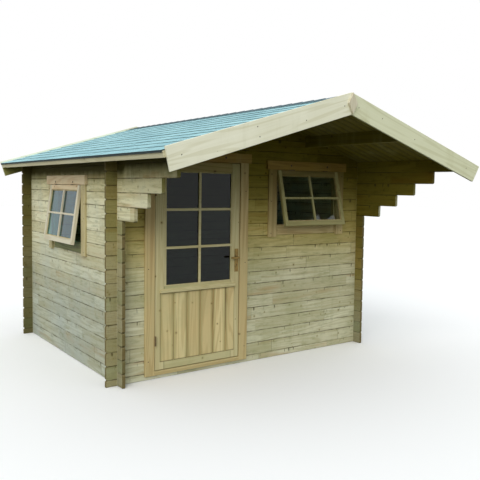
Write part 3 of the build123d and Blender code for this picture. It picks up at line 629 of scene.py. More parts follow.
def felt_material(name, face, shade):
    """Mineral-faced felt: each tab has a tone of its own, with coloured granules and dark cut edges."""
    material, shader, coords = new_material(name)
    place = coords["Object"]
    grit = noise(place, 420.0, 2.0, 0.7)
    cloud = noise(place, (1.92, 3.52, 1.92), 4.0, 0.6)
    tone = attribute(place, "tab_tone") * 0.34 + ramp(cloud, 0.35, 0.7) * 0.2
    tone = maths("ADD", tone, ramp(grit, 0.42, 0.62) * 0.2, clamp=True)
    colour = mixed(attribute(place, "felt_edge"), mixed(tone, face, shade), colours().felt_edge)
    finish_surface(shader, colour, grit, ramp(grit, 0.2, 0.8, 0.75, 0.95), 0.5, 0.0015)
    return material


def metal_material(name, rgb, metallic, smoothest=0.4, roughest=0.65):
    """Metal with fine scratches and tarnish."""
    material, shader, coords = new_material(name)
    tarnish = noise(coords["Object"], 38.0, 5.0, 0.65)
    brushed = noise(coords["Object"], (60.0, 60.0, 900.0), 2.0)
    colour = mixed(ramp(tarnish, 0.4, 0.75), rgb, [value * 0.55 for value in rgb])
    shader["Metallic"].default_value = metallic
    finish_surface(shader, colour, brushed, ramp(tarnish, 0.3, 0.8, smoothest, roughest), 0.08, 0.0005)
    return material


def glass_material(name, tone, index):
    """Clear pane of a refractive index, with faint dust that catches the light."""
    material, shader, coords = new_material(name)
    shader["Base Color"].default_value = (*tone, 1.0)
    shader["Transmission Weight"].default_value = 1.0
    shader["IOR"].default_value = index
    dust = noise(coords["Object"], 9.0, 5.0, 0.6)
    ramp(dust, 0.35, 0.8, 0.0, 0.06).into(shader["Roughness"])
    return material


def paint_nodes(material, names):
    """Gives CAD nodes one material."""
    for name in names:
        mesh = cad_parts[name].data
        mesh.materials.clear()
        mesh.materials.append(material)


def add_piece(name, mesh, body, hides=()):
    """A finished piece on its body, standing for the CAD nodes it hides."""
    piece = bpy.data.objects.new(name, mesh)
    bpy.context.scene.collection.objects.link(piece)
    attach(piece, body)
    if hides:
        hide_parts(*hides)


def grown_mesh(name, tree, values, material, points=()):
    """Plain mesh grown by a geometry tree with these named inputs, on points with the way that each faces."""
    mesh = bpy.data.meshes.new(name + "_seed")
    if points:
        mesh.from_pydata([place for place, facing in points], [], [])
        ways = mesh.attributes.new("facing", "FLOAT_VECTOR", "POINT")
        for number, (place, facing) in enumerate(points):
            ways.data[number].vector = facing
    holder = bpy.data.objects.new(name + "_seed", mesh)
    bpy.context.scene.collection.objects.link(holder)
    modifier = holder.modifiers.new("grow", "NODES")
    modifier.node_group = tree
    sockets = {item.name: item.identifier for item in tree.interface.items_tree if item.in_out == "INPUT"}
    for key, value in values.items():
        modifier[sockets[key]] = value
    modifier[sockets["Material"]] = material
    graph = bpy.context.evaluated_depsgraph_get()
    grown = bpy.data.meshes.new_from_object(holder.evaluated_get(graph), depsgraph=graph)
    bpy.data.objects.remove(holder)
    bpy.data.meshes.remove(mesh)
    grown.name = name
    return grown


def geometry_tree(name, lengths, counts):
    """An empty geometry tree with named inputs and a material input."""
    inputs = {"Geometry": ["Geometry"], "Float": lengths, "Int": counts, "Material": ["Material"]}
    return open_group(name, inputs, {"Geometry": ["Geometry"]}, "GeometryNodeTree")


def close_tree(tree, given, out, geometry):
    """Ends a geometry tree: instances made real and the material set."""
    real = node("GeometryNodeRealizeInstances", {"Geometry": geometry})[0]
    painted = node("GeometryNodeSetMaterial", {"Geometry": real, "Material": given["Material"]})[0]
    painted.into(out["Geometry"])
    return tree


def block(x, y, z, stations=2):
    """A box about the origin, with its corners at this many stations along x."""
    size = {"Size": vector_of(x, y, z), "Vertices X": stations, "Vertices Y": 2, "Vertices Z": 2}
    return node("GeometryNodeMeshCube", size)[0]


def moved(geometry, *by):
    """Geometry shifted by three values."""
    return node("GeometryNodeTransform", {"Geometry": geometry, "Translation": vector_of(*by)})[0]


def marked(geometry, name, value, domain="FACE"):
    """Geometry with a named value stored on it."""
    inputs = {"Geometry": geometry, "Name": name, "Value": value}
    return node("GeometryNodeStoreNamedAttribute", inputs, data_type="FLOAT", domain=domain)[0]


def cut_edges(geometry):
    """Felt with every face but the upper one marked as a cut edge."""
    upward = axes(source(geometry.tree, "GeometryNodeInputNormal")[0])[2]
    return marked(geometry, "felt_edge", maths("LESS_THAN", upward, 0.5))


def random_between(low, high, seed):
    """A random value for each element."""
    return node("FunctionNodeRandomValue", {2: low, 3: high, "Seed": seed}, data_type="FLOAT")[1]


def joined_flows(layers):
    """Several geometries as one."""
    every = layers[0].tree.nodes.new("GeometryNodeJoinGeometry")
    for layer in layers:
        layer.into(every.inputs[0])
    return Flow(every.outputs[0])


def trimmed(geometry, limits):
    """Instances made real and cut off at 0 and at a limit along some axes."""
    real = node("GeometryNodeRealizeInstances", {"Geometry": geometry})[0]
    place = list(axes(source(geometry.tree, "GeometryNodeInputPosition")[0]))
    for axis, limit in limits.items():
        place[axis] = node("ShaderNodeClamp", {0: place[axis], 1: 0.0, 2: limit})[0]
    return node("GeometryNodeSetPosition", {"Geometry": real, "Position": vector_of(*place)})[0]


def shingle_tree():
    """Rows of felt tabs on a flat field: x along the eave from 0, y up the slope from 0, z out of it."""
    lengths = ["Length", "Run", "Tab Width", "Exposure", "Slot", "Thickness", "Drip"]
    tree, given, out = geometry_tree("Shingle Rows", lengths, ["Rows", "Tabs", "Seed"])
    length, run, width, exposure, slot, thickness, drip = (given[label] for label in lengths)
    spread = (given["Tabs"] - 1.0) * width
    climb = (given["Rows"] - 1.0) * exposure
    grid = node("GeometryNodeMeshGrid", {
        "Size X": spread, "Size Y": climb, "Vertices X": given["Tabs"], "Vertices Y": given["Rows"]})[0]
    place = axes(source(tree, "GeometryNodeInputPosition")[0])
    up = place[1] + climb * 0.5
    odd = maths("FLOORED_MODULO", maths("ROUND", up / exposure), 2.0)
    along = place[0] + length * 0.5 + (odd * (width * 0.5) - width * 0.25)
    spot = vector_of(along, up, random_between(0.0, 0.0012, given["Seed"]))
    points = node("GeometryNodeSetPosition", {"Geometry": grid, "Position": spot})[0]
    reach = exposure * 1.3
    tab = cut_edges(block(width - slot, reach, thickness, 4))
    tab = moved(tab, 0.0, reach * 0.5, thickness * 0.5)
    tab = node("GeometryNodeTransform", {
        "Geometry": tab, "Translation": vector_of(0.0, 0.0, thickness * 0.9),
        "Rotation": vector_of(thickness / exposure * -0.85, 0.0, 0.0)})[0]
    twist = node("FunctionNodeRandomValue", {
        0: (0.0, 0.0, -0.004), 1: (0.0, 0.0, 0.004), "Seed": given["Seed"] + 1.0,
    }, data_type="FLOAT_VECTOR")[0]
    laid = node("GeometryNodeInstanceOnPoints", {"Points": points, "Instance": tab, "Rotation": twist})[0]
    laid = marked(laid, "tab_tone", random_between(0.0, 1.0, given["Seed"] + 2.0), "INSTANCE")
    layers = [trimmed(laid, {0: length, 1: run})]
    hang = drip + 0.003
    # Depth, height, middle and level of the underlay, the starter strip and the drip edge
    strips = (
        (run, 0.001, run * 0.5, 0.0007),
        (0.05, 0.0065, 0.0265, 0.0033),
        (0.003, hang, 0.003, 0.003 - hang * 0.5),
    )
    for depth, height, middle, level in strips:
        strip = moved(block(length, depth, height), length * 0.5, middle, level)
        layers.append(marked(strip, "felt_edge", 1.0))
    return close_tree(tree, given, out, joined_flows(layers))


def board_tree():
    """Boards side by side: x along the boards from 0, y across them from 0, z from 0 to their thickness."""
    lengths = ["Length", "Width", "Cover", "Joint", "Thickness"]
    tree, given, out = geometry_tree("Laid Boards", lengths, ["Count"])
    length, width, cover, joint, thickness = (given[label] for label in lengths)
    line = node("GeometryNodeMeshLine", {
        "Count": given["Count"], "Start Location": vector_of(length * 0.5, cover * 0.5, thickness * 0.5),
        "Offset": vector_of(0.0, cover, 0.0)})[0]
    board = block(length, cover - joint, thickness)
    laid = node("GeometryNodeInstanceOnPoints", {"Points": line, "Instance": board})[0]
    return close_tree(tree, given, out, trimmed(laid, {1: width}))


def cap_tree():
    """Folded felt caps lapped along a ridge that runs along y from 0."""
    lengths = ["Length", "Exposure", "Run", "Thickness", "Pitch"]
    tree, given, out = geometry_tree("Ridge Caps", lengths, ["Count", "Seed"])
    length, exposure, run, thickness, pitch = (given[label] for label in lengths)
    line = node("GeometryNodeMeshLine", {"Count": given["Count"], "Offset": vector_of(0.0, exposure, 0.0)})[0]
    reach = exposure * 1.25
    flap = cut_edges(block(run, reach, thickness, 3))
    flaps = []
    for side in (-1, 1):
        flat = moved(flap, run * (0.5 * side), reach * 0.5, thickness * 0.5)
        fold = vector_of(0.0, pitch * side, 0.0)
        flaps.append(node("GeometryNodeTransform", {"Geometry": flat, "Rotation": fold})[0])
    cap = node("GeometryNodeTransform", {
        "Geometry": joined_flows(flaps), "Rotation": vector_of(thickness / exposure * -0.9, 0.0, 0.0),
        "Translation": vector_of(0.0, 0.0, thickness)})[0]
    laid = node("GeometryNodeInstanceOnPoints", {"Points": line, "Instance": cap})[0]
    laid = marked(laid, "tab_tone", random_between(0.2, 1.0, given["Seed"]), "INSTANCE")
    return close_tree(tree, given, out, trimmed(laid, {1: length}))


def nail_tree():
    """Domed heads of nails or screws, one on each point and turned the way that the point faces."""
    tree, given, out = geometry_tree("Fastener Heads", ["Radius", "Dome"], ["Sides"])
    ball = node("GeometryNodeMeshUVSphere", {
        "Segments": given["Sides"], "Rings": 6, "Radius": given["Radius"]})[0]
    way = source(tree, "GeometryNodeInputNamedAttribute", {"Name": "facing"}, data_type="FLOAT_VECTOR")
    heads = node("GeometryNodeInstanceOnPoints", {
        "Points": given["Geometry"], "Instance": ball,
        "Rotation": node("FunctionNodeAlignRotationToVector", {"Vector": way["Attribute"]}, axis="Z")[0],
        "Scale": vector_of(1.0, 1.0, given["Dome"])})[0]
    return close_tree(tree, given, out, heads)


def placed(ways, origin=(0.0, 0.0, 0.0)):
    """Matrix from a plane of its own to the cabin, from the ways of its three axes and its origin."""
    matrix = Matrix(ways).transposed().to_4x4()
    matrix.translation = origin
    return matrix


class Roof:
    """Places on the roof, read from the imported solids."""

    def __init__(self):
        low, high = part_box("right_roof_deck")
        self.front, self.back, self.ridge = low[1], high[1], high[2]
        self.length = self.back - self.front
        self.pitch = sizes().pitch
        self.across, self.rise = math.cos(self.pitch), math.sin(self.pitch)
        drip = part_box("right_roof_shingles")[1][0]
        lift = 2.3 * sizes().shingle_thickness * self.rise
        self.shingle_run = (drip - lift) / self.across

    def ways(self, side):
        """The ways up a slope and out of it."""
        return Vector((-side * self.across, 0.0, self.rise)), Vector((side * self.rise, 0.0, self.across))

    def start(self, along):
        """The end of the ridge from which a way along it sets out."""
        return Vector((0.0, self.front if along.y > 0 else self.back, self.ridge))

    def shingle_field(self, side):
        """Matrix from a flat field to a slope: x along the eave, y up from the drip line, z out."""
        up, out = self.ways(side)
        along = up.cross(out)
        return placed((along, up, out), self.start(along) - up * self.shingle_run)

    def board_field(self, side, run):
        """Matrix from flat boards to a slope: x up from the eave, y along it, z out from their underside."""
        up, out = self.ways(side)
        along = out.cross(up)
        return placed((up, along, out), self.start(along) - up * run - out * sizes().deck_thickness)


def mesh_of(name, shape, *materials):
    """A mesh from an edited shape, with its materials."""
    mesh = bpy.data.meshes.new(name)
    shape.to_mesh(mesh)
    shape.free()
    for material in materials:
        mesh.materials.append(material)
    return mesh


def eased_block(low, high, ease, material, matrix=None):
    """A squared length of wood with eased edges, placed by a matrix."""
    shape = bmesh.new()
    bmesh.ops.create_cube(shape, size=1.0)
    bmesh.ops.scale(shape, vec=Vector(high) - Vector(low), verts=shape.verts)
    bmesh.ops.translate(shape, vec=(Vector(low) + Vector(high)) / 2, verts=shape.verts)
    bmesh.ops.bevel(shape, geom=shape.edges[:], offset=ease, segments=2, profile=0.6, affect="EDGES")
    if matrix is not None:
        bmesh.ops.transform(shape, matrix=matrix, verts=shape.verts)
    return mesh_of("block", shape, material)


def joined(name, meshes):
    """Several meshes of one finish as one mesh."""
    shape = bmesh.new()
    for mesh in meshes:
        shape.from_mesh(mesh)
    result = mesh_of(name, shape, meshes[0].materials[0])
    for mesh in meshes:
        bpy.data.meshes.remove(mesh)
    return result


def eased_copy(name, cad, body, slot, *materials, choose=None):
    """A piece that stands for a sharp-edged node, with its long outer edges eased and marked for wear."""
    ease = sizes().ease
    corner = math.radians(30)
    shape = bmesh.new()
    shape.from_mesh(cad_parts[cad].data)
    bmesh.ops.remove_doubles(shape, verts=shape.verts, dist=1e-5)
    bmesh.ops.dissolve_limit(shape, angle_limit=math.radians(1), verts=shape.verts, edges=shape.edges)
    sharp = [edge for edge in shape.edges if edge.is_manifold and edge.is_convex
             and edge.calc_face_angle() > corner and edge.calc_length() > 6 * ease]
    eased = bmesh.ops.bevel(shape, geom=sharp, offset=ease, segments=2, profile=0.5, affect="EDGES",
                            clamp_overlap=False)
    mark = shape.faces.layers.float.new("eased_edge")
    rounded = set(eased["faces"])
    for side in shape.faces:
        side[mark] = 1.0 if side in rounded else 0.0
        side.smooth = False
        side.material_index = choose(side) if choose else 0
    add_piece(name, mesh_of(name, shape, *materials), body, [cad])


def above(height):
    """A choice of material: the second one above a height."""
    return lambda side: 1 if side.calc_center_median().z > height else 0


def glazing(name, body, matrix, opening, pane, depths, rows, bar, woods, first):
    """Glazing bars and beads on both faces of a pane. The matrix has x across, y up and z out of it.

    Pane and depths give the glass and the bars' limit on each face, and first is the left bead's width.
    """
    bead = sizes().bead
    bar_ease = 0.0025
    bead_ease = 0.003
    left, right, bottom, top = opening
    middle = (left + first + right - bead) / 2
    near, far = middle - bar / 2, middle + bar / 2
    bars, beads = [], []

    def add(pieces, low, high, span, ease, wood):
        pieces.append(eased_block((*low, span[0]), (*high, span[1]), ease, wood, matrix))

    for glass, limit in zip(pane, depths):
        span = sorted((glass, limit))
        add(bars, (near, bottom), (far, top), span, bar_ease, woods[0])
        for row in range(1, rows):
            level = bottom + (top - bottom) * row / rows
            for start, end in ((left, near), (far, right)):
                add(bars, (start, level - bar / 2), (end, level + bar / 2), span, bar_ease, woods[0])
        span = sorted((glass, glass + math.copysign(bead, limit - glass)))
        for start, end in ((left, left + first), (right - bead, right)):
            add(beads, (start, bottom), (end, top), span, bead_ease, woods[1])
        for start, end in ((bottom, bottom + bead), (top - bead, top)):
            add(beads, (left + first, start), (right - bead, end), span, bead_ease, woods[1])
    add_piece(name + "_bars", joined(name + "_bars", bars), body)
    add_piece(name + "_beads", joined(name + "_beads", beads), body)


class CABIN_OT_log_walls(bpy.types.Operator):
    """Give the log walls their weathered pine"""

    bl_idname = "cabin.log_walls"
    bl_label = "Log Walls"

    def execute(self, context):
        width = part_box("right_wall_even_courses")[1][0]
        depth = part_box("back_wall_even_courses")[1][1]
        ends = LogWall("log_pine_across", "X", sizes().course / 2, width, depth)
        across = ends.finish(ends.across(ends.timber(colours().log_olive, 0.15)))
        flanks = LogWall("log_pine_along", "Y", 0.0, depth, width)
        along = flanks.finish(flanks.along(flanks.timber(colours().log_silver, 0.9)))
        for wall, material in (("front", across), ("back", across), ("left", along), ("right", along)):
            paint_nodes(material, [wall + "_wall_odd_courses", wall + "_wall_even_courses"])
        return {"FINISHED"}


class CABIN_OT_roof_timber(bpy.types.Operator):
    """Ease the bargeboards, apex plates, fascias and purlins and give them their planed pine"""

    bl_idname = "cabin.roof_timber"
    bl_label = "Roof Timber"

    def execute(self, context):
        pitch = sizes().pitch
        ridge = Roof().ridge
        # Painted shade on the bargeboards' inner faces: all but the top of each face is darkened
        painted_shade = (ridge, ridge - 0.012, math.tan(pitch))
        for (hand, side), pair in zip(HANDS, (wood_pair("barge"), wood_pair("green"))):
            wood = timber_material("bargeboard_pine_" + hand, "X", pair, knots=0.22, weather=0.12,
                                   tilt=-side * pitch)
            shaded_inner = timber_material("bargeboard_painted_shade_" + hand, "X", pair, knots=0.22, weather=0.1,
                                    tilt=-side * pitch, painted_shade=painted_shade)
            for end, way in (("front_", 1), ("back_", -1)):
                cad = end + hand + "_bargeboard"
                eased_copy(cad + "_board", cad, "cabin", "bargeboard_wood", wood, shaded_inner,
                           choose=lambda face: 1 if face.normal.y * way > 0.9 else 0)
        plate = timber_material("apex_plate_pine", "Z", wood_pair("sash"), knots=0.1, weather=0.1, board=2.0)
        eased_copy("apex_plate_blocks", "apex_plates", "cabin", "bargeboard_wood", plate)
        fascia = timber_material("fascia_pine", "Y", wood_pair("fascia"), knots=0.35, weather=0.12)
        eased_copy("eave_fascia_boards", "eave_fascias", "cabin", "roof_wood", fascia)
        # The purlins are of the dark roof wood: painted shade under the canopy
        beam = timber_material("purlin_painted_shade", "Y", wood_pair("roof"), knots=0.4, weather=0.1)
        for cad in ("side_purlins", "ridge_purlin"):
            eased_copy(cad + "_timber", cad, "cabin", "roof_wood", beam)
        return {"FINISHED"}


class CABIN_OT_roof_boards(bpy.types.Operator):
    """Lay the roof's boards from ridge to eave"""

    bl_idname = "cabin.roof_boards"
    bl_label = "Roof Boards"

    def execute(self, context):
        size = sizes()
        roof = Roof()
        tree = board_tree()
        bevel = size.deck_thickness * math.tan(roof.pitch)
        for hand, side in HANDS:
            name = hand + "_roof_boards"
            # The roof boards are of the dark roof wood: painted shade under the canopy
            wood = timber_material("roof_board_painted_shade_" + hand, "X", wood_pair("roof"), knots=0.35,
                                   weather=0.15, tilt=-side * roof.pitch, pitch=size.deck_board)
            low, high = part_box(hand + "_roof_deck")
            run = (high[0] - low[0]) / roof.across - bevel
            mesh = grown_mesh(name, tree, {
                "Length": run - bevel, "Width": roof.length, "Cover": size.deck_board,
                "Joint": size.board_gap, "Thickness": size.deck_thickness,
                "Count": math.ceil(roof.length / size.deck_board)}, wood)
            mesh.transform(roof.board_field(side, run))
            add_piece(name, mesh, "cabin", [hand + "_roof_deck"])
        return {"FINISHED"}


class CABIN_OT_shingles(bpy.types.Operator):
    """Lay the felt shingles on both slopes"""

    bl_idname = "cabin.shingles"
    bl_label = "Shingles"

    def execute(self, context):
        size = sizes()
        roof = Roof()
        felt = felt_material("shingle_felt", colours().felt, colours().felt_dark)
        tree = shingle_tree()
        for hand, side in HANDS:
            name = hand + "_shingle_tabs"
            mesh = grown_mesh(name, tree, {
                "Length": roof.length, "Run": roof.shingle_run, "Tab Width": size.shingle_tab,
                "Rows": math.ceil(roof.shingle_run / size.shingle_exposure),
                "Tabs": math.ceil(roof.length / size.shingle_tab) + 1, "Exposure": size.shingle_exposure,
                "Slot": size.shingle_slot, "Thickness": size.shingle_thickness, "Drip": size.drip,
                "Seed": size.seed + side}, felt)
            mesh.transform(roof.shingle_field(side))
            add_piece(name, mesh, "cabin", [hand + "_roof_shingles"])
        return {"FINISHED"}


class CABIN_OT_ridge_caps(bpy.types.Operator):
    """Fold the felt caps over the ridge"""

    bl_idname = "cabin.ridge_caps"
    bl_label = "Ridge Caps"

    def execute(self, context):
        size = sizes()
        roof = Roof()
        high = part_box("ridge_cap")[1]
        face = colours().ridge_felt
        felt = felt_material("ridge_felt", face, [value * 0.5 for value in face])
        mesh = grown_mesh("ridge_caps", cap_tree(), {
            "Length": roof.length, "Exposure": size.cap_exposure, "Run": high[0] / roof.across,
            "Count": math.ceil(roof.length / size.cap_exposure), "Thickness": size.shingle_thickness,
            "Pitch": roof.pitch, "Seed": size.seed}, felt)
        mesh.transform(Matrix.Translation((0.0, roof.front, high[2] - 2 * size.shingle_thickness)))
        add_piece("ridge_caps", mesh, "cabin", ["ridge_cap"])
        return {"FINISHED"}


class CABIN_OT_floor(bpy.types.Operator):
    """Lay the floor boards across their bearers"""

    bl_idname = "cabin.floor"
    bl_label = "Floor"

    def execute(self, context):
        size = sizes()
        low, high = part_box("floor_boards")
        length, width, thickness = (high[axis] - low[axis] for axis in range(3))
        wood = timber_material("floor_pine", "X", wood_pair("floor"), weather=0.1, pitch=size.floor_board)
        bearer = timber_material("bearer_pine", "Y", wood_pair("floor"))
        eased_copy("floor_bearer_timber", "floor_bearers", "cabin", "floor_wood", bearer)
        mesh = grown_mesh("floor_boarding", bpy.data.node_groups["Laid Boards"], {
            "Length": length, "Width": width, "Count": math.ceil(width / size.floor_board),
            "Cover": size.floor_board, "Joint": size.board_gap, "Thickness": thickness}, wood)
        mesh.transform(Matrix.Translation(low))
        add_piece("floor_boarding", mesh, "cabin", ["floor_boards"])
        return {"FINISHED"}


class CABIN_OT_door(bpy.types.Operator):
    """Finish the door, its frame and its glazing bars"""

    bl_idname = "cabin.door"
    bl_label = "Door"

    def execute(self, context):
        self.dress_frame()
        woods = self.dress_leaf()
        self.dress_panel()
        self.dress_panes(woods)
        return {"FINISHED"}

    def dress_frame(self):
        """Jambs with their casings, the head with its lintel, and the threshold."""
        # The casings darken towards their top as painted shade of the canopy
        casing = timber_material("door_casing_pine", "Z", wood_pair("casing"), knots=0.35, weather=0.22,
                                 painted_shade=(1.5, 2.4, 0.0))
        # The door's lintel is of the darker head wood: painted shade of the canopy
        head = timber_material("door_head_painted_shade", "X", wood_pair("head"), knots=0.4, weather=0.08)
        sill = timber_material("door_sill_pine", "X", wood_pair("casing"), knots=0.2, weather=0.35)
        eased_copy("door_jamb_boards", "door_jambs", "cabin", "trim_wood", casing)
        eased_copy("door_head_board", "door_head", "cabin", "trim_wood", head)
        eased_copy("door_threshold_board", "door_threshold", "cabin", "trim_wood", sill)

    def dress_leaf(self):
        """Stiles, rails and weather bar: returns the woods of the glazing bars and of the beads."""
        tint = colours()
        low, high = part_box("door_rails")
        top_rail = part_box("door_glass")[1][2] - 0.02
        pair = wood_pair("stile")
        # The stiles darken towards their top as painted shade of the canopy
        stile = timber_material("door_stile_pine", "Z", pair, knots=0.25, weather=0.15,
                                painted_shade=(1.45, 2.2, 0.0))
        rail = timber_material("door_rail_pine", "X", pair, knots=0.25, weather=0.8, board=3.0,
                               grime_and_shade=((0, low[0], high[0], 0.006),))
        # The top rail is a shaded copy of the door's wood: painted shade of the canopy
        shaded = timber_material("door_top_rail_painted_shade", "X", (tint.trim_deep, tint.roof_pale), knots=0.25,
                                 weather=0.1)
        bar = timber_material("door_bar_pine", "X", pair, knots=0.2, weather=0.2, board=8.0)
        eased_copy("door_stile_timber", "door_stiles", "door", "door_wood", stile)
        eased_copy("door_rail_timber", "door_rails", "door", "door_wood", rail, shaded,
                   choose=above(top_rail))
        eased_copy("door_weather_board", "door_weather_bar", "door", "door_wood", bar)
        return bar, stile

    def dress_panel(self):
        """Boarded panel with painted shadow along its edges and darker grooves."""
        tint = colours()
        low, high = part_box("door_panel")
        # Painted shadow along the panel's bottom, top and sides, where it sits in the frame
        grime_and_shade = ((2, low[2], high[2], 0.013), (0, low[0], high[0], 0.008))
        panel = timber_material("door_panel_pine", "Z", wood_pair("panel"), knots=0.9, weather=0.4,
                                pitch=sizes().panel_board, start=low[0], grime_and_shade=grime_and_shade)
        groove = timber_material("door_groove_pine", "Z", (tint.panel_deep, tint.joint), knots=0.0,
                                 weather=0.5)
        eased_copy("door_panel_boards", "door_panel", "door", "door_wood", panel, groove,
                   choose=lambda face: 1 if face.normal.y < -0.3 and abs(face.normal.x) > 0.3 else 0)

    def dress_panes(self, woods):
        """Pane, glazing bars and beads."""
        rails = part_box("door_rails")
        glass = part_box("door_glass")
        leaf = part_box("door_stiles")
        left, right = rails[0][0], rails[1][0]
        # The door's panes are tinted dark green: painted reflection of the garden
        paint_nodes(glass_material("door_glass", (0.09, 0.14, 0.10), index=1.33), ["door_glass"])
        lap = (glass[1][0] - glass[0][0] - (right - left)) / 2
        set_back = 0.0015
        outward = placed(((1, 0, 0), (0, 0, 1), (0, -1, 0)))
        glazing("door_glazing", "door", outward,
                (left, right, glass[0][2] + lap, glass[1][2] - lap), (-glass[0][1], -glass[1][1]),
                (-leaf[0][1] - set_back, -leaf[1][1] + set_back), 3, sizes().door_bar, woods,
                sizes().hinge_bead)


class CABIN_OT_furniture(bpy.types.Operator):
    """Finish the hinges and the door handle, with its screws and keyholes"""

    bl_idname = "cabin.furniture"
    bl_label = "Hinges and Handle"

    # Half width, half depth, drop, rise and easing of a keyhole's slot and of its round part
    keyhole = ((0.0025, 0.0006, 0.012, 0.0, 0.0005), (0.0045, 0.0007, 0.001, 0.008, 0.0006))

    def execute(self, context):
        tint = colours()
        screw = sizes().screw
        bronze = metal_material("aged_bronze", tint.bronze, metallic=0.7)
        steel = metal_material("dark_steel", tint.steel, metallic=0.8)
        browned = metal_material("browned_steel", tint.hinge, metallic=0.4, smoothest=0.5, roughest=0.75)
        paint_nodes(bronze, ["door_handle_plates", "door_handle"])
        paint_nodes(browned, ["door_hinge_posts", "door_hinge_knuckles", "front_window_hinges",
                              "side_window_hinges"])
        low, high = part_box("door_handle_plates")
        middle = (low[0] + high[0]) / 2
        margin = 3.4 * screw
        points = []
        for level, shift in ((low[2] + margin, 0.0), (high[2] - margin, -margin), (high[2] - margin, margin)):
            points.append(((middle + shift, low[1], level), (0.0, -1.0, 0.0)))
            points.append(((middle + shift, high[1], level), (0.0, 1.0, 0.0)))
        values = {"Radius": screw, "Dome": 0.35, "Sides": 12}
        mesh = grown_mesh("handle_screws", nail_tree(), values, steel, points)
        add_piece("handle_screws", mesh, "door")
        hole = low[2] + 0.3 * (high[2] - low[2])
        slots = [eased_block((middle - half, face - deep, hole - drop),
                             (middle + half, face + deep, hole + rise), ease, steel)
                 for face in (low[1], high[1]) for half, deep, drop, rise, ease in self.keyhole]
        add_piece("handle_keyholes", joined("handle_keyholes", slots), "door")
        return {"FINISHED"}


class CABIN_OT_windows(bpy.types.Operator):
    """Finish the window frames, sashes and glazing bars"""

    bl_idname = "cabin.windows"
    bl_label = "Windows"

    def execute(self, context):
        tint = colours()
        # The front window's casing darkens towards its top, and its lintel and sash are of darker woods:
        # painted shade of the canopy
        casing = timber_material("front_window_casing_pine", "Z", wood_pair("casing"), knots=0.3, weather=0.2,
                                 painted_shade=(1.15, 2.0, 0.0))
        # The front sash's top rail is a shaded copy: painted shade of the canopy
        shaded = timber_material("front_window_top_rail_painted_shade", "X", (tint.trim_deep, tint.roof_pale),
                                 knots=0.2, weather=0.1, painted_shade=(1.2, 2.6, 0.0))
        self.dress("front", "X", casing, "head", wood_pair("casing"), "shade", shaded)
        glass = glass_material("front_window_glass", (0.62, 0.70, 0.68), index=1.5)
        paint_nodes(glass, ["front_window_glass"])
        casing = timber_material("side_window_casing_pine", "Z", wood_pair("trim"), knots=0.3, weather=0.2)
        # The side window's sill is of dark log-end and joint colours: painted shadow of the open sash
        self.dress("side", "Y", casing, "lintel", (tint.end_green, tint.joint), "sash")
        # The side panes are tinted blue: painted reflection of the sky
        glass = glass_material("side_window_glass", (0.16, 0.48, 0.58), index=1.4)
        paint_nodes(glass, ["side_window_glass"])
        return {"FINISHED"}

    def dress(self, window, axis, casing, head_wood, sill_pair, sash_wood, top_rail=None):
        """Frame, sash, bars and beads of one window. A top rail that isn't given is of the lintel's wood."""
        size = sizes()
        prefix = window + "_window_"
        pair = wood_pair(sash_wood)
        lintel = timber_material(prefix + "lintel_pine", axis, wood_pair(head_wood), knots=0.5, weather=0.08)
        sill = timber_material(prefix + "sill_pine", axis, sill_pair, knots=0.3, weather=0.2, board=5.0)
        stile = timber_material(prefix + "stile_pine", "Z", pair, knots=0.2, weather=0.12)
        rail = timber_material(prefix + "rail_pine", axis, pair, knots=0.2, weather=0.12, board=2.0)
        low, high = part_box(prefix + "head_and_sill")
        upper = above((low[2] + high[2]) / 2)
        eased_copy(prefix + "jamb_boards", prefix + "jambs", "cabin", "trim_wood", casing)
        eased_copy(prefix + "head_and_sill_boards", prefix + "head_and_sill", "cabin", "trim_wood",
                   sill, lintel, choose=upper)
        eased_copy(prefix + "stile_timber", prefix + "stiles", "cabin", "sash_wood", stile)
        eased_copy(prefix + "rail_timber", prefix + "rails", "cabin", "sash_wood", rail, top_rail or lintel,
                   choose=upper)
        half = size.sash_width / 2 - size.sash_stile
        half_glass = 0.002
        limits = (-0.0015, 0.0012 - size.sash_thickness)
        glazing(window + "_window", "cabin", self.sash_plane(window),
                (-half, half, size.sash_rail - size.sash_height, -size.sash_rail),
                (half_glass - size.sash_glass, -half_glass - size.sash_glass),
                limits, 2, size.sash_bar, (stile, casing), size.bead)

    def sash_plane(self, window):
        """Matrix from a sash's own plane: x along it, y up it, z out of it, origin on its top outer edge."""
        low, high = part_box(window + "_window_stiles")
        hang = (Vector(low) + Vector(high)) / 2
        hang.z = high[2]
        if window == "front":
            swing, right, out = sizes().front_sash, Vector((1.0, 0.0, 0.0)), Vector((0.0, -1.0, 0.0))
            hang.y = high[1] - sizes().sash_thickness * math.cos(swing)
        else:
            swing, right, out = sizes().side_sash, Vector((0.0, -1.0, 0.0)), Vector((-1.0, 0.0, 0.0))
            hang.x = high[0] - sizes().sash_thickness * math.cos(swing)
        face = out * math.cos(swing) + Vector((0.0, 0.0, math.sin(swing)))
        return placed((right, face.cross(right), face), hang)


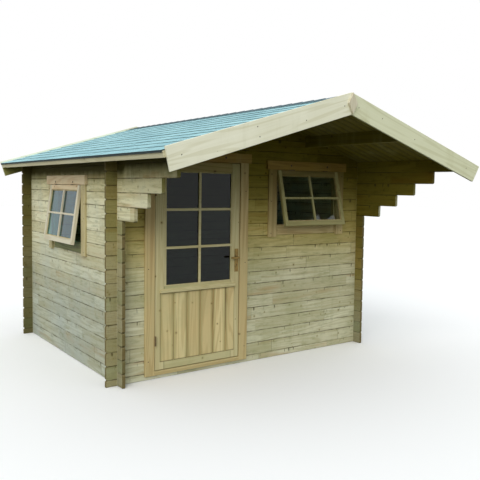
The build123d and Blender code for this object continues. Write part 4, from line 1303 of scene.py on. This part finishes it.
class CABIN_OT_nails(bpy.types.Operator):
    """Drive the nails of the bargeboards and casings and the bolts of the lintels"""

    bl_idname = "cabin.nails"
    bl_label = "Nails"

    # Nails of a bargeboard: the run down from the ridge, and the level above the deck
    board_nails = {
        "left": ((0.10, -0.06), (0.51, -0.08), (0.96, -0.022), (0.96, -0.094), (1.60, -0.056)),
        "right": ((0.10, -0.06), (0.38, -0.04), (0.815, -0.06), (1.59, -0.056)),
    }
    casing_shares = (0.07, 0.5, 0.86)
    casing_inset = 0.03
    lintel_shares = (0.28, 0.74)
    lintel_drops = (
        ("door_head", 0.043), ("front_window_head_and_sill", 0.043), ("side_window_head_and_sill", 0.062)
    )

    def execute(self, context):
        steel = bpy.data.materials["dark_steel"]
        tree = bpy.data.node_groups["Fastener Heads"]
        nails = self.bargeboard_points() + self.casing_points()
        for name, radius, points in (("board_nails", sizes().nail, nails),
                                     ("lintel_bolts", sizes().bolt, self.lintel_points())):
            mesh = grown_mesh(name, tree, {"Radius": radius, "Dome": 0.3, "Sides": 10}, steel, points)
            add_piece(name, mesh, "cabin")
        return {"FINISHED"}

    def bargeboard_points(self):
        """Nails along the bargeboards of both gables."""
        roof = Roof()
        points = []
        for end, way in (("front", -1.0), ("back", 1.0)):
            for hand, side in HANDS:
                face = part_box(end + "_" + hand + "_bargeboard")[0 if way < 0 else 1][1]
                for run, level in self.board_nails[hand]:
                    aside = side * (run * roof.across + level * roof.rise)
                    height = roof.ridge - run * roof.rise + level * roof.across
                    points.append(((aside, face, height), (0.0, way, 0.0)))
        return points

    def wall_point(self, name, low, along, height):
        """A point on the outer face of a frame, and the way that it faces."""
        if name.startswith("side"):
            return (low[0], along, height), (-1.0, 0.0, 0.0)
        return (along, low[1], height), (0.0, -1.0, 0.0)

    def lintel_points(self):
        """Two bolts in each lintel of the door and the windows."""
        points = []
        for name, drop in self.lintel_drops:
            low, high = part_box(name)
            axis = 1 if name.startswith("side") else 0
            for share in self.lintel_shares:
                along = low[axis] + share * (high[axis] - low[axis])
                points.append(self.wall_point(name, low, along, high[2] - drop))
        return points

    def casing_points(self):
        """Three nails down each casing of the door and the windows."""
        points = []
        for name in ("door_jambs", "front_window_jambs", "side_window_jambs"):
            low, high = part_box(name)
            axis = 1 if name.startswith("side") else 0
            for along in (low[axis] + self.casing_inset, high[axis] - self.casing_inset):
                for share in self.casing_shares:
                    points.append(self.wall_point(name, low, along, low[2] + share * (high[2] - low[2])))
        return points


class CABIN_OT_stage(bpy.types.Operator):
    """Set the floor, lights and camera"""

    bl_idname = "cabin.stage"
    bl_label = "Stage"

    def execute(self, context):
        scene = context.scene
        scene.view_settings.view_transform = "Standard"
        self.lay_floor(scene)
        self.light(scene)
        self.place_camera(scene)
        return {"FINISHED"}

    def seen(self, tree):
        """1 for what the eye sees, straight or by glass, and 0 for what only lights other things."""
        path = source(tree, "ShaderNodeLightPath")
        return larger(path["Is Camera Ray"], larger(path["Is Glossy Ray"], path["Is Transmission Ray"]))

    def lay_floor(self, scene):
        """Pale floor under the cabin. It shows white to the eye and returns a duller, greener light."""
        shape = bmesh.new()
        bmesh.ops.create_grid(shape, x_segments=1, y_segments=1, size=40.0)
        material, shader = new_material("stage_floor")[:2]
        pale = (0.97, 0.97, 0.97)
        mixed(self.seen(material.node_tree), colours().ground_bounce, pale).into(shader["Base Color"])
        shader["Roughness"].default_value = 0.9
        shader["Specular IOR Level"].default_value = 0.0
        floor = bpy.data.objects.new("stage_floor", mesh_of("stage_floor", shape, material))
        scene.collection.objects.link(floor)
        floor.location = (0.0, 0.0, -0.001)

    def light(self, scene):
        """Overcast daylight: a white sky to the eye, a soft one as light and a broad key from the left."""
        world = bpy.data.worlds.new("cabin_sky")
        world.use_nodes = True
        scene.world = world
        tree = world.node_tree
        tree.nodes.clear()
        sky = source(tree, "ShaderNodeBackground", {"Color": (0.94, 0.98, 1.0), "Strength": 0.9})[0]
        white = source(tree, "ShaderNodeBackground", {"Color": (1.0, 1.0, 1.0), "Strength": 1.0})[0]
        either = node("ShaderNodeMixShader", {0: self.seen(tree), 1: sky, 2: white})[0]
        either.into(tree.nodes.new("ShaderNodeOutputWorld").inputs[0])
        sun = bpy.data.lights.new("soft_key", "SUN")
        sun.energy = 1.6
        sun.angle = math.radians(45)
        sun.color = (1.0, 0.98, 0.94)
        key = bpy.data.objects.new("soft_key", sun)
        key.rotation_euler = Euler((math.radians(60), 0.0, math.radians(-48)))
        scene.collection.objects.link(key)

    def place_camera(self, scene):
        """Camera at the photograph's place, a standing eye in front of the left corner."""
        data = bpy.data.cameras.new("eye")
        data.lens = 46.79
        data.sensor_width = 36.0
        data.shift_x = -0.0354
        data.shift_y = -0.0217
        data.clip_end = 200.0
        camera = bpy.data.objects.new("eye", data)
        camera.location = (-3.5176, -5.9331, 1.6661)
        camera.rotation_euler = Euler([math.radians(value) for value in (86.154, -0.839, -36.558)])
        scene.collection.objects.link(camera)
        scene.camera = camera


OPERATORS = (
    CABIN_OT_log_walls,
    CABIN_OT_roof_timber,
    CABIN_OT_roof_boards,
    CABIN_OT_shingles,
    CABIN_OT_ridge_caps,
    CABIN_OT_floor,
    CABIN_OT_door,
    CABIN_OT_furniture,
    CABIN_OT_windows,
    CABIN_OT_nails,
    CABIN_OT_stage,
)


class CABIN_PT_panel(bpy.types.Panel):
    """Lists the cabin's steps"""

    bl_idname = "CABIN_PT_panel"
    bl_label = "Log Cabin"
    bl_space_type = "VIEW_3D"
    bl_region_type = "UI"
    bl_category = "Cabin"

    def draw(self, context):
        for operator in OPERATORS:
            self.layout.operator(operator.bl_idname)


CLASSES = (CabinSizes, CabinColours, *OPERATORS, CABIN_PT_panel)


def register():
    """Registers the classes and the scene's settings."""
    for cls in CLASSES:
        bpy.utils.register_class(cls)
    bpy.types.Scene.cabin_sizes = PointerProperty(type=CabinSizes)
    bpy.types.Scene.cabin_colours = PointerProperty(type=CabinColours)


def unregister():
    """Takes the settings and the classes away again."""
    del bpy.types.Scene.cabin_colours
    del bpy.types.Scene.cabin_sizes
    for cls in reversed(CLASSES):
        bpy.utils.unregister_class(cls)


def main():
    """Dresses the cabin."""
    register()
    bpy.ops.cabin.log_walls()
    bpy.ops.cabin.roof_timber()
    bpy.ops.cabin.roof_boards()
    bpy.ops.cabin.shingles()
    bpy.ops.cabin.ridge_caps()
    bpy.ops.cabin.floor()
    bpy.ops.cabin.door()
    bpy.ops.cabin.furniture()
    bpy.ops.cabin.windows()
    bpy.ops.cabin.nails()
    bpy.ops.cabin.stage()


if __name__ == "__main__":
    main()
